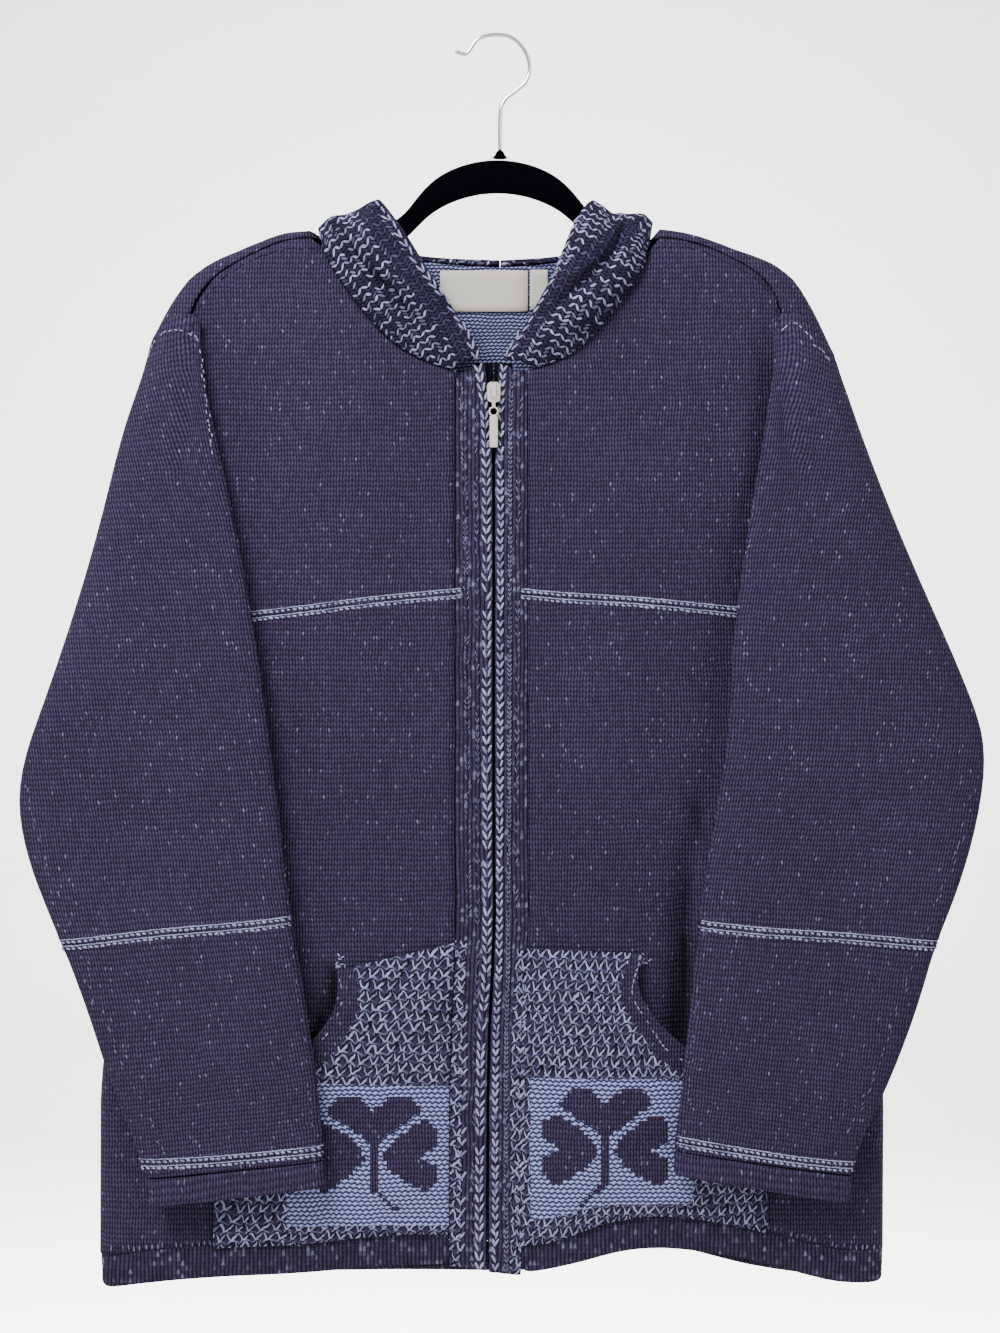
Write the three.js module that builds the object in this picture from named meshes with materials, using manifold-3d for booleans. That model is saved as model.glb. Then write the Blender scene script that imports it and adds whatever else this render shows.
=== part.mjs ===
// A zip-up hooded sweater in chunky knit, hung on a flat hanger with a wire hook.
// Millimetres, +Z up, +X to the wearer's left, front towards -Y.
// The origin is the crook of the hook, where a rail or a wall peg carries it.

import * as THREE from 'three';
import { mergeVertices } from 'three/addons/utils/BufferGeometryUtils.js';
import Module from 'manifold-3d';

const wasm = await Module();
wasm.setup();

// ---------------------------------------------------------------- driving sizes
const KNIT = 3.6;              // thickness of the knitted cloth
const BAND_KNIT = 4.6;         // hem, cuff and zip bands are folded double
const SEAM = 0.35;             // gap kept where two pieces meet
const STRIPE_RAISE = 1.1;      // height of the two purl ridges of a stripe
const STRIPE_TALL = 10;        // from the top of the upper ridge to the foot of the lower
const HEM_TALL = 22;           // hem band
const CUFF_PROUD = 0.7;        // how far the cuff band stands out from the sleeve
const CHEST_STRIPE_Z = -416;   // middle of the stripe across the chest, at the zip
const UNDERARM_Z = -505;       // foot of the armholes
const HANGER_THICK = 6;
const HOOK_WIRE = 3;           // diameter of the hook's wire

const SIDE = {
  left: {
    out: -1,
    placketOuter: -33.4,
    placketInner: -6.8,
    ribs: [-26.7, -17.8, -10.4],
    sideSeam: -293,
    stripeTilt: 0.088,
  },
  right: {
    out: 1,
    placketOuter: 20.6,
    placketInner: -2.6,
    ribs: [0.6, 7.4, 14.8],
    sideSeam: 282,
    stripeTilt: 0.07,
  },
};

// Top edge of each front: up the neckline from the zip band, then out along the shoulder seam.
const TOP_EDGE = {
  left: [
    { at: 0.00, x: -33.8, y: -14.5, z: -253 },
    { at: 0.10, x: -51, y: -14.5, z: -250.5 },
    { at: 0.22, x: -75, y: -14, z: -237.5 },
    { at: 0.36, x: -100, y: -13, z: -214 },
    { at: 0.50, x: -122, y: -11, z: -184 },
    { at: 0.62, x: -141, y: -8.6, z: -159 },
    { at: 0.72, x: -170, y: -8.6, z: -162.5 },
    { at: 0.84, x: -203, y: -8.6, z: -179 },
    { at: 0.93, x: -221, y: -9.4, z: -199.5 },
    { at: 1.00, x: -229, y: -10.6, z: -222 },
  ],
  right: [
    { at: 0.00, x: 21, y: -14.5, z: -252 },
    { at: 0.10, x: 34, y: -14.5, z: -250 },
    { at: 0.22, x: 57, y: -14, z: -239.5 },
    { at: 0.36, x: 80, y: -13, z: -216 },
    { at: 0.50, x: 100, y: -11, z: -189 },
    { at: 0.62, x: 118, y: -8.6, z: -159 },
    { at: 0.72, x: 145, y: -8.6, z: -160 },
    { at: 0.84, x: 180, y: -8.6, z: -175.5 },
    { at: 0.93, x: 200, y: -9.4, z: -193 },
    { at: 1.00, x: 209, y: -10.6, z: -223 },
  ],
};

// Ridge of the shoulder, where the back turns over to the front.
const SHOULDER_RIDGE = {
  left: [
    { at: 0.62, x: -139, z: -149 },
    { at: 0.72, x: -172, z: -153.5 },
    { at: 0.84, x: -209, z: -170 },
    { at: 0.93, x: -236, z: -192 },
    { at: 1.00, x: -258, z: -228 },
  ],
  right: [
    { at: 0.62, x: 117, z: -148 },
    { at: 0.72, x: 146, z: -151 },
    { at: 0.84, x: 186, z: -166.5 },
    { at: 0.93, x: 218, z: -186 },
    { at: 1.00, x: 248, z: -238 },
  ],
};

// Edge of the fronts down the armhole and the side seam.
const FRONT_SIDE = {
  left: [
    { z: -220, x: -229 },
    { z: -300, x: -232 },
    { z: -400, x: -248 },
    { z: -470, x: -274 },
    { z: -505, x: -289 },
    { z: -560, x: -292 },
    { z: -940, x: -294 },
  ],
  right: [
    { z: -220, x: 209 },
    { z: -300, x: 214 },
    { z: -400, x: 234 },
    { z: -470, x: 263 },
    { z: -505, x: 280 },
    { z: -560, x: 283 },
    { z: -940, x: 282 },
  ],
};

// Edge of the back down the armhole and the side seam.
const BACK_SIDE = {
  left: [
    { z: -228, x: -258 },
    { z: -300, x: -268 },
    { z: -400, x: -282 },
    { z: -505, x: -291 },
    { z: -560, x: -292 },
    { z: -940, x: -294 },
  ],
  right: [
    { z: -238, x: 248 },
    { z: -300, x: 258 },
    { z: -400, x: 272 },
    { z: -505, x: 282 },
    { z: -560, x: 283 },
    { z: -940, x: 282 },
  ],
};

// Foot of the hem along the front, which rises and falls with the drape.
const HEM_FOOT = [
  { x: -297, z: -929.5 },
  { x: -285, z: -932.5 },
  { x: -248, z: -927.5 },
  { x: -205, z: -924 },
  { x: -144, z: -922 },
  { x: -80, z: -916 },
  { x: -21, z: -916.5 },
  { x: 0, z: -920.5 },
  { x: 34, z: -921.5 },
  { x: 69, z: -909 },
  { x: 100, z: -900.5 },
  { x: 161, z: -906.5 },
  { x: 205, z: -916.5 },
  { x: 250, z: -929 },
  { x: 286, z: -927 },
];

// Stations down each sleeve. o is the outer edge, i the inner fold over the front, back and
// front the depths of its two layers. Above the underarm the tube is open to the body, and
// its two edges are sewn at seam (on the front) and rear (on the back).
const SLEEVE = {
  left: [
    {
      xo: -269, zo: -262, xi: -221, zi: -256, back: -14.8, front: -28,
      seam: [-231, -14.2], rear: [-263.5, 8.5],
    },
    {
      xo: -282, zo: -295, xi: -210.5, zi: -295, back: -15, front: -30,
      seam: [-234, -14.6], rear: [-268, 9.2],
    },
    {
      xo: -300.5, zo: -377, xi: -192, zi: -377, back: -15.8, front: -32,
      seam: [-246, -15.4], rear: [-280, 9.6],
    },
    {
      xo: -323.5, zo: -451, xi: -180.5, zi: -448, back: -15.8, front: -33,
      seam: [-270, -15.2], rear: [-290, 9],
    },
    {
      xo: -333, zo: -480, xi: -176, zi: -473, back: -15.8, front: -33.5,
      seam: [-284, -15.2], rear: [-299, 2],
    },
    { xo: -342, zo: -508, xi: -172.5, zi: -498, back: -15.8, front: -34, seam: [-304, -14.6] },
    { xo: -358, zo: -560, xi: -166.5, zi: -548, back: -16, front: -35, seam: [-332, -15] },
    { xo: -352, zo: -602, xi: -161, zi: -590, back: -16.5, front: -36, seam: [-334, -16.5] },
    { xo: -337.5, zo: -646, xi: -156, zi: -634, back: -17.5, front: -39, seam: [-320, -17.5] },
    { xo: -326, zo: -675, xi: -152, zi: -662, back: -20, front: -42, seam: [-309, -20] },
    { xo: -304, zo: -735, xi: -141, zi: -722, back: -25, front: -44, seam: [-287, -25] },
    { xo: -280.5, zo: -793, xi: -133, zi: -779, back: -27.6, front: -44.5, seam: [-264, -27.6] },
    { xo: -262.5, zo: -847, xi: -129, zi: -834, back: -27.6, front: -43.5, seam: [-246, -27.6] },
    { xo: -256, zo: -869.6, xi: -128.4, zi: -855.5, back: -27.6, front: -43, seam: [-240, -27.6] },
  ],
  right: [
    {
      xo: 260, zo: -270, xi: 204, zi: -252, back: -14.8, front: -28,
      seam: [213, -14.2], rear: [254, 8.5],
    },
    {
      xo: 268, zo: -295, xi: 195.5, zi: -292, back: -15, front: -31,
      seam: [216, -14.6], rear: [258, 9.2],
    },
    {
      xo: 299, zo: -377, xi: 181, zi: -377, back: -15.8, front: -34,
      seam: [231, -15.4], rear: [270, 9.6],
    },
    {
      xo: 332, zo: -451, xi: 172, zi: -446, back: -15.8, front: -36,
      seam: [257, -15.2], rear: [280, 9],
    },
    {
      xo: 342, zo: -476, xi: 170.5, zi: -470, back: -15.8, front: -36.5,
      seam: [272, -15.2], rear: [289, 2],
    },
    { xo: 351, zo: -500, xi: 169.5, zi: -495, back: -15.8, front: -37, seam: [294, -14.6] },
    { xo: 361, zo: -535, xi: 167, zi: -530, back: -16, front: -38, seam: [330, -15] },
    { xo: 352, zo: -592, xi: 158, zi: -584, back: -17, front: -39, seam: [334, -17] },
    { xo: 336, zo: -642, xi: 149, zi: -634, back: -18.5, front: -41.5, seam: [318, -18.5] },
    { xo: 323, zo: -674, xi: 145.5, zi: -664, back: -21, front: -43.5, seam: [306, -21] },
    { xo: 305, zo: -735, xi: 139, zi: -724, back: -26, front: -45.6, seam: [288, -26] },
    { xo: 277, zo: -795, xi: 132.5, zi: -781, back: -28.4, front: -45.5, seam: [260, -28.4] },
    { xo: 259, zo: -845, xi: 128.5, zi: -827, back: -28.4, front: -45, seam: [242, -28.4] },
    { xo: 256.7, zo: -867.4, xi: 127.6, zi: -847, back: -28.4, front: -44.5, seam: [240, -28.4] },
  ],
};

// The sleeve's top edge: an arc round the shoulder's tip, sewn to the back.
const SLEEVE_HEAD = {
  left: [
    [-233, -13.4, -238], [-230, -13.4, -233], [-227, -13.6, -228.5], [-223.5, -17, -225],
    [-229, -21.2, -222.5], [-241, -20, -220.5], [-252, -15, -225.5], [-261, -7, -234],
    [-264, 0, -241], [-265, 7.5, -248],
  ],
  right: [
    [213, -13.4, -240], [210.5, -13.4, -235], [208, -13.6, -230], [204.5, -17, -226],
    [210, -21.2, -223.5], [225, -20.5, -225], [239, -16, -233], [250.5, -7.5, -245],
    [254, 0, -251], [255, 7.5, -257],
  ],
};

// Stations round the hood's neckline, from the zip to the centre of the back. Each spans from
// its seam to the face edge, and behind the shoulders it drops in a pouch to z = foot.
const HOOD = {
  left: [
    { at: 0, seam: [-36, -15.6, -251], edge: [-13, -17.5, -239.5], swell: 2, foot: null, spread: 1 },
    { at: 1, seam: [-69, -15.6, -238], edge: [-33, -20, -207], swell: 8, foot: null, spread: 1 },
    { at: 2, seam: [-97, -14.8, -213.5], edge: [-54, -20, -174], swell: 11, foot: null, spread: 1 },
    { at: 3, seam: [-119.5, -12.8, -183], edge: [-72, -16, -148], swell: 11, foot: null, spread: 1 },
    { at: 4, seam: [-131, -10.5, -165], edge: [-82, -10.5, -134], swell: 8, foot: null, spread: 1 },
    { at: 5, seam: [-136.5, -1, -146], edge: [-90, -2, -124.5], swell: 3, foot: null, spread: 1 },
    { at: 6, seam: [-132, 9, -150.5], edge: [-93, 20, -129], swell: 0, foot: -160, spread: 1.04 },
    { at: 7, seam: [-108, 9, -159.5], edge: [-90, 36, -152], swell: 0, foot: -330, spread: 1.26 },
    { at: 8, seam: [-58, 9, -169], edge: [-54, 42, -215], swell: 0, foot: -435, spread: 1.28 },
    { at: 9, seam: [-0.3, 9, -171.2], edge: [-0.3, 44, -262], swell: 0, foot: -470, spread: 1 },
  ],
  right: [
    { at: 0, seam: [26, -15.6, -249], edge: [2, -17.5, -243], swell: 2, foot: null, spread: 1 },
    { at: 1, seam: [54, -15.6, -239], edge: [18, -20, -217], swell: 8, foot: null, spread: 1 },
    { at: 2, seam: [78, -14.8, -216], edge: [33.5, -20, -190], swell: 11, foot: null, spread: 1 },
    { at: 3, seam: [97.5, -12.8, -189.5], edge: [47, -17, -160], swell: 11, foot: null, spread: 1 },
    { at: 4, seam: [109, -10.5, -170], edge: [57.5, -12, -138], swell: 8, foot: null, spread: 1 },
    { at: 5, seam: [114.5, -1, -145], edge: [68, -3, -124.5], swell: 3, foot: null, spread: 1 },
    { at: 6, seam: [110, 9, -149.5], edge: [73, 20, -128], swell: 0, foot: -160, spread: 1.04 },
    { at: 7, seam: [88, 9, -159], edge: [74, 36, -152], swell: 0, foot: -330, spread: 1.26 },
    { at: 8, seam: [48, 9, -168.5], edge: [46, 42, -215], swell: 0, foot: -435, spread: 1.28 },
    { at: 9, seam: [0.3, 9, -171.2], edge: [0.3, 44, -262], swell: 0, foot: -470, spread: 1 },
  ],
};

// ---------------------------------------------------------------- small helpers
const mix = (a, b, t) => a + (b - a) * t;
const clamp01 = (t) => Math.min(1, Math.max(0, t));

function smooth(from, to, value) {
  const t = clamp01((value - from) / (to - from));
  return t * t * (3 - 2 * t);
}

// Reads one column of a table at a value of its key column, along a smooth curve.
function along(table, key, value, column) {
  const rising = table[table.length - 1][key] > table[0][key];
  const rows = rising ? table : [...table].reverse();
  if (value <= rows[0][key]) return rows[0][column];
  const last = rows.length - 1;
  if (value >= rows[last][key]) return rows[last][column];
  let i = 0;
  while (rows[i + 1][key] < value) i += 1;
  const [a, b] = [rows[i], rows[i + 1]];
  const before = rows[Math.max(0, i - 1)];
  const after = rows[Math.min(last, i + 2)];
  const slopeA = (b[column] - before[column]) / (b[key] - before[key]);
  const slopeB = (after[column] - a[column]) / (after[key] - a[key]);
  const span = b[key] - a[key];
  const t = (value - a[key]) / span;
  const [t2, t3] = [t * t, t * t * t];
  return (2 * t3 - 3 * t2 + 1) * a[column] + (t3 - 2 * t2 + t) * span * slopeA
    + (3 * t2 - 2 * t3) * b[column] + (t3 - t2) * span * slopeB;
}

const steps = (from, to, count) => Array.from({ length: count + 1 }, (_, i) => mix(from, to, i / count));

const point = ([x, y, z]) => new THREE.Vector3(x, y, z);

// Outward normals of a grid of points. Where a row is joined, its first and last columns are one.
function gridNormals(grid, joined, turn) {
  const last = grid[0].length - 1;
  const normals = grid.map((row, r) => row.map((_, c) => {
    const down = grid[Math.max(0, r - 1)][c];
    const up = grid[Math.min(grid.length - 1, r + 1)][c];
    const wraps = joined(r) && (c === 0 || c === last);
    const before = wraps ? row[last - 1] : row[Math.max(0, c - 1)];
    const after = wraps ? row[1] : row[Math.min(last, c + 1)];
    return new THREE.Vector3().subVectors(after, before)
      .cross(new THREE.Vector3().subVectors(up, down)).normalize().multiplyScalar(turn);
  }));
  normals.forEach((row, r) => {
    if (!joined(r)) return;
    row[0].add(row[last]).normalize();
    row[last].copy(row[0]);
  });
  return normals;
}

function solidFromFaces(points, faces) {
  const positions = faces.flatMap((face) => face.flatMap((i) => points[i].toArray()));
  let geometry = new THREE.BufferGeometry();
  geometry.setAttribute('position', new THREE.Float32BufferAttribute(positions, 3));
  geometry = mergeVertices(geometry, 1e-3);
  const index = [...geometry.index.array];
  const kept = [];
  for (let i = 0; i < index.length; i += 3) {
    const [a, b, c] = index.slice(i, i + 3);
    if (a !== b && b !== c && a !== c) kept.push(a, b, c);
  }
  geometry.setIndex(kept);
  return facingOut(geometry);
}

function facingOut(geometry) {
  const p = geometry.attributes.position;
  const index = geometry.index.array;
  const [a, b, c] = [new THREE.Vector3(), new THREE.Vector3(), new THREE.Vector3()];
  let volume = 0;
  for (let i = 0; i < index.length; i += 3) {
    a.fromBufferAttribute(p, index[i]);
    b.fromBufferAttribute(p, index[i + 1]);
    c.fromBufferAttribute(p, index[i + 2]);
    volume += a.dot(b.cross(c));
  }
  if (volume < 0) {
    const turned = [];
    for (let i = 0; i < index.length; i += 3) turned.push(index[i], index[i + 2], index[i + 1]);
    geometry.setIndex(turned);
  }
  geometry.computeVertexNormals();
  return geometry;
}

// A closed wall of cloth: the grid is its outer face and the inner face lies inside it.
// turn is -1 where the grid's rows and columns run the other way round. settle squares the
// wall's edge at a seam, and raise lifts an outer point, for ribs and ridges over a plain inside.
function clothWall(grid, thickness, turn, options = {}) {
  const { joined = () => false, settle = () => {}, raise = () => 0 } = options;
  const normals = gridNormals(grid, joined, turn);
  normals.forEach((row, r) => row.forEach((normal, c) => settle(normal, r, c)));
  const [rows, columns] = [grid.length, grid[0].length];
  const moved = (distance) => grid.map((row, r) => row.map((p, c) => (
    p.clone().addScaledVector(normals[r][c], distance(r, c)))));
  const outer = moved(raise);
  const inner = moved(() => -thickness);
  const points = [...outer.flat(), ...inner.flat()];
  const half = rows * columns;
  const faces = [];
  const quad = (a, b, c, d) => faces.push([a, b, c], [a, c, d]);
  for (let r = 0; r < rows - 1; r += 1) {
    for (let c = 0; c < columns - 1; c += 1) {
      const i = r * columns + c;
      quad(i, i + 1, i + columns + 1, i + columns);
      quad(half + i, half + i + columns, half + i + columns + 1, half + i + 1);
    }
    if (!(joined(r) && joined(r + 1))) {
      const first = r * columns;
      const last = first + columns - 1;
      quad(first, first + columns, half + first + columns, half + first);
      quad(last, half + last, half + last + columns, last + columns);
    }
  }
  for (let c = 0; c < columns - 1; c += 1) {
    const top = (rows - 1) * columns + c;
    quad(c, half + c, half + c + 1, c + 1);
    quad(top, top + 1, half + top + 1, half + top);
  }
  return solidFromFaces(points, faces);
}

function toManifold(geometry) {
  const bare = geometry.clone();
  bare.deleteAttribute('normal');
  if (bare.attributes.uv) bare.deleteAttribute('uv');
  const merged = mergeVertices(bare, 1e-4);
  const mesh = new wasm.Mesh({
    numProp: 3,
    vertProperties: new Float32Array(merged.attributes.position.array),
    triVerts: new Uint32Array(merged.index.array),
  });
  return new wasm.Manifold(mesh);
}

function fromManifold(solid) {
  const mesh = solid.getMesh();
  const geometry = new THREE.BufferGeometry();
  geometry.setAttribute('position', new THREE.Float32BufferAttribute(mesh.vertProperties, 3));
  geometry.setIndex([...mesh.triVerts]);
  geometry.computeVertexNormals();
  return geometry;
}

// ---------------------------------------------------------------- the body's drape
const hemFoot = (x) => along(HEM_FOOT, 'x', x, 'z');

function frontDepth(x, z) {
  const fullness = 4.2 * smooth(-165, -330, z);
  const flare = smooth(-620, -920, z);
  const lift = 6 * Math.exp(-(((x - 95) / 52) ** 2)) * flare;
  const ripple = 1.8 * Math.sin(x / 38 + 0.9) * flare;
  const besideSleeve = 1.4 * Math.exp(-(((Math.abs(x + 12) - 192) / 11) ** 2)) * smooth(-220, -300, z)
    * (1 - smooth(-400, -520, z));
  return -8.6 - fullness - lift - ripple + besideSleeve;
}

function backDepth(x, z) {
  const fullness = 2.2 * smooth(-165, -330, z);
  const flare = smooth(-560, -920, z);
  const folds = 2 * Math.sin(x / 46 - 0.7) + 1.2 * Math.sin(x / 23 + 1.1);
  return 8.6 + fullness + flare * (1.6 + folds);
}

const SIDE_SEAM_Y = -1.2;         // how far back the side seams lie
const EDGE_GAP = 0.8;             // gap above the hem bands
const SHOULDER_GAP = 2;           // gap at the slanting shoulder seams
const SEAM_REACH = 10;            // width over which the cloth turns to a side seam

// Half-round turn of the cloth to a side seam: 0 on the flat, 1 at the seam. The armholes stay open.
function sideTurn(x, seamX, z) {
  const closes = smooth(UNDERARM_Z + 10, UNDERARM_Z - 35, z);
  const t = clamp01((SEAM_REACH - Math.abs(seamX - x)) / SEAM_REACH);
  return closes * (1 - Math.sqrt(1 - t * t));
}

const stripeZ = (name, x) => CHEST_STRIPE_Z - SIDE[name].stripeTilt * Math.abs(x);

const RIDGE_STEPS = [-0.5, -0.25, 0, 0.25, 0.5];

// Heights of a column's rows: even below and above the stripe, and five across it.
function rowHeights(foot, top, stripe, below, above) {
  const stripeFoot = stripe - STRIPE_TALL / 2;
  const stripeTop = stripe + STRIPE_TALL / 2;
  return [
    ...steps(foot, stripeFoot, below).slice(0, -1),
    ...RIDGE_STEPS.map((n) => stripe + n * STRIPE_TALL),
    ...steps(stripeTop, top, above).slice(1),
  ];
}

// Squares a panel's edges: its head faces front or back, and its side seam faces sideways.
function squareEdges(grid, facing, sideOf) {
  const headRow = grid.length - 1;
  return (normal, r, c) => {
    const side = sideOf(c);
    if (r === 0) normal.setZ(0).normalize();
    if (r === headRow) normal.set(0, facing, 0);
    else if (side !== 0 && grid[r][c].z < UNDERARM_Z - SEAM_REACH * 3) normal.set(side, 0, 0);
  };
}

// ---------------------------------------------------------------- fronts
const FRONT_COLUMNS = [0, 0.12, 0.25, 0.38, 0.51, 0.64, 0.76, 0.87, 0.95, 0.976, 0.99, 1];
const FRONT_BELOW = 10;
const FRONT_ABOVE = 9;

const isStripeRow = (row, below) => row > below && row < below + RIDGE_STEPS.length - 1;

function frontGrid(name) {
  const { placketOuter, sideSeam } = SIDE[name];
  const columns = FRONT_COLUMNS.map((share) => {
    const footX = mix(placketOuter, sideSeam, share);
    const foot = hemFoot(footX) + HEM_TALL + EDGE_GAP;
    const top = {
      x: along(TOP_EDGE[name], 'at', share, 'x'),
      y: along(TOP_EDGE[name], 'at', share, 'y'),
      z: along(TOP_EDGE[name], 'at', share, 'z'),
    };
    return rowHeights(foot, top.z, stripeZ(name, footX), FRONT_BELOW, FRONT_ABOVE).map((z) => {
      const rise = (z - foot) / (top.z - foot);
      const seamX = along(FRONT_SIDE[name], 'z', z, 'x');
      const x = mix(mix(placketOuter, seamX, share), top.x, smooth(0.55, 1, rise));
      const turned = mix(frontDepth(x, z), SIDE_SEAM_Y - SEAM, sideTurn(x, seamX, z));
      return new THREE.Vector3(x, mix(turned, top.y, smooth(0.9, 1, rise)), z);
    });
  });
  return columns[0].map((_, r) => columns.map((column) => column[r]));
}

function frontPanel(name) {
  const raise = (r) => (isStripeRow(r, FRONT_BELOW) && (r - FRONT_BELOW) % 2 === 1 ? STRIPE_RAISE : 0);
  const grid = frontGrid(name);
  const sideOf = (c) => (c === FRONT_COLUMNS.length - 1 ? SIDE[name].out : 0);
  return clothWall(grid, KNIT, SIDE[name].out, { raise, settle: squareEdges(grid, -1, sideOf) });
}

// ---------------------------------------------------------------- back
const NECK_SHARE = 0.46;          // the back neck takes this much of each half of the top edge
const BACK_NECK_Z = -172;         // lowest point of the back neck
const NECK_Y = 8.8;
const BACK_BELOW = 9;
const BACK_ABOVE = 6;
const BACK_COLUMNS = [0, 0.15, 0.3, 0.43, 0.47, 0.58, 0.71, 0.83, 0.93, 0.976, 0.99, 1];
// Turn of the back over the shoulder, from behind the ridge to the seam in front: depth, share
// of the way to the seam sideways, and height under the ridge.
const TURN = [
  { y: 8.8, reach: 0, drop: 12 },
  { y: 7.2, reach: 0, drop: 3.6 },
  { y: 1, reach: 0, drop: 0 },
  { y: -6.4, reach: 0.4, drop: 1.8 },
  { y: -8.8, reach: 1, drop: 7 },
];

// The turn's points for one column of the back, from the back up to the shoulder seam.
function shoulderTurn(name, share) {
  const neck = {
    x: along(SHOULDER_RIDGE[name], 'at', 0.62, 'x'),
    z: along(SHOULDER_RIDGE[name], 'at', 0.62, 'z'),
  };
  if (share < NECK_SHARE) {
    const t = share / NECK_SHARE;
    const top = mix(BACK_NECK_Z, neck.z - 4, t ** 2.4);
    return TURN.map((_, i) => new THREE.Vector3(neck.x * t, NECK_Y, top - 3 * (TURN.length - 1 - i)));
  }
  const at = mix(0.62, 1, (share - NECK_SHARE) / (1 - NECK_SHARE));
  const ridge = {
    x: along(SHOULDER_RIDGE[name], 'at', at, 'x'),
    z: along(SHOULDER_RIDGE[name], 'at', at, 'z'),
  };
  const seam = {
    x: along(TOP_EDGE[name], 'at', at, 'x'),
    z: along(TOP_EDGE[name], 'at', at, 'z') + SHOULDER_GAP,
  };
  const tip = smooth(0.9, 1, at);
  return TURN.map(({ y, reach, drop }) => {
    const straight = ridge.z - drop;
    const slanted = mix(ridge.z, seam.z, reach) + 5 * Math.sin(Math.PI * reach) - drop * (1 - reach) * 0.8;
    const z = reach === 1 ? seam.z : mix(straight, slanted, tip);
    return new THREE.Vector3(mix(ridge.x, seam.x, reach), y - 5.5 * tip * (reach > 0 ? 1 : 0.4), z);
  });
}

// Foot of the hem behind, which hangs more evenly than in front.
const backFoot = (x) => mix(-928, hemFoot(x), 0.35);

function backColumn(name, share) {
  const { sideSeam } = SIDE[name];
  const footX = sideSeam * share;
  const foot = backFoot(footX) + HEM_TALL + EDGE_GAP;
  const turn = shoulderTurn(name, share);
  const top = turn[0];
  const rows = rowHeights(foot, top.z, stripeZ(name, footX), BACK_BELOW, BACK_ABOVE).slice(0, -1);
  const body = rows.map((z) => {
    const rise = (z - foot) / (top.z - foot);
    const seamX = along(BACK_SIDE[name], 'z', z, 'x');
    const x = mix(seamX * share, top.x, smooth(0.55, 1, rise));
    const turned = mix(backDepth(x, z), SIDE_SEAM_Y + SEAM, sideTurn(x, seamX, z));
    return new THREE.Vector3(x, mix(turned, top.y, smooth(0.9, 1, rise)), z);
  });
  return [...body, ...turn];
}

// Columns of the whole back from the left side seam to the right.
const ACROSS_BACK = [
  ...[...BACK_COLUMNS].reverse().slice(0, -1).map((share) => ['left', share]),
  ...BACK_COLUMNS.map((share) => ['right', share]),
];

function backSideOf(c) {
  if (c === 0) return -1;
  return c === ACROSS_BACK.length - 1 ? 1 : 0;
}

function backPanel() {
  const columns = ACROSS_BACK.map(([name, share]) => backColumn(name, share));
  const grid = columns[0].map((_, r) => columns.map((column) => column[r]));
  const raise = (r) => (isStripeRow(r, BACK_BELOW) && (r - BACK_BELOW) % 2 === 1 ? STRIPE_RAISE : 0);
  const square = squareEdges(grid, -1, backSideOf);
  const settle = (normal, r, c) => {
    const inNeck = ACROSS_BACK[c][1] < NECK_SHARE;
    if (r === grid.length - 1 && inNeck) normal.set(0, 1, 0);
    else square(normal, r, c);
  };
  return clothWall(grid, KNIT, -1, { raise, settle });
}

// ---------------------------------------------------------------- hem bands
const BAND_PROUD = 0.8;           // bands stand this far off the cloth above them
const BAND_ROWS = 3;

function hemFront(name) {
  const { placketOuter, sideSeam, out } = SIDE[name];
  const grid = steps(0, 1, BAND_ROWS).map((rise) => FRONT_COLUMNS.map((share) => {
    const x = mix(placketOuter, sideSeam, share);
    const z = hemFoot(x) + rise * HEM_TALL;
    const y = mix(frontDepth(x, z) - BAND_PROUD, SIDE_SEAM_Y - SEAM, sideTurn(x, sideSeam, z));
    return new THREE.Vector3(x, y, z);
  }));
  const settle = (normal, r, c) => {
    if (c === FRONT_COLUMNS.length - 1) normal.set(out, 0, 0);
    else normal.setZ(0).normalize();
  };
  return clothWall(grid, BAND_KNIT, out, { settle });
}

function hemBack() {
  const grid = steps(0, 1, BAND_ROWS).map((rise) => ACROSS_BACK.map(([name, share]) => {
    const { sideSeam } = SIDE[name];
    const x = sideSeam * share;
    const z = backFoot(x) + rise * HEM_TALL;
    const y = mix(backDepth(x, z) + BAND_PROUD, SIDE_SEAM_Y + SEAM, sideTurn(x, sideSeam, z));
    return new THREE.Vector3(x, y, z);
  }));
  const settle = (normal, r, c) => {
    if (backSideOf(c) === 0) normal.setZ(0).normalize();
    else normal.set(backSideOf(c), 0, 0);
  };
  return clothWall(grid, BAND_KNIT, -1, { settle });
}

// ---------------------------------------------------------------- sleeves and cuffs
const SECTION_STEPS = [2, 2, 2, 2, 2, 3, 3, 2, 2];    // columns between a section's ten points
const UNDERARM_STATION = 5;
const SLEEVE_STRIPE = 9;
const CUFF_STRIPE = 12;

const stations = (name) => SLEEVE[name].map((row, i) => {
  const rear = row.rear ?? row.seam;
  return { ...row, at: i, seamX: row.seam[0], seamY: row.seam[1], rearX: rear[0], rearY: rear[1] };
});

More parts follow.
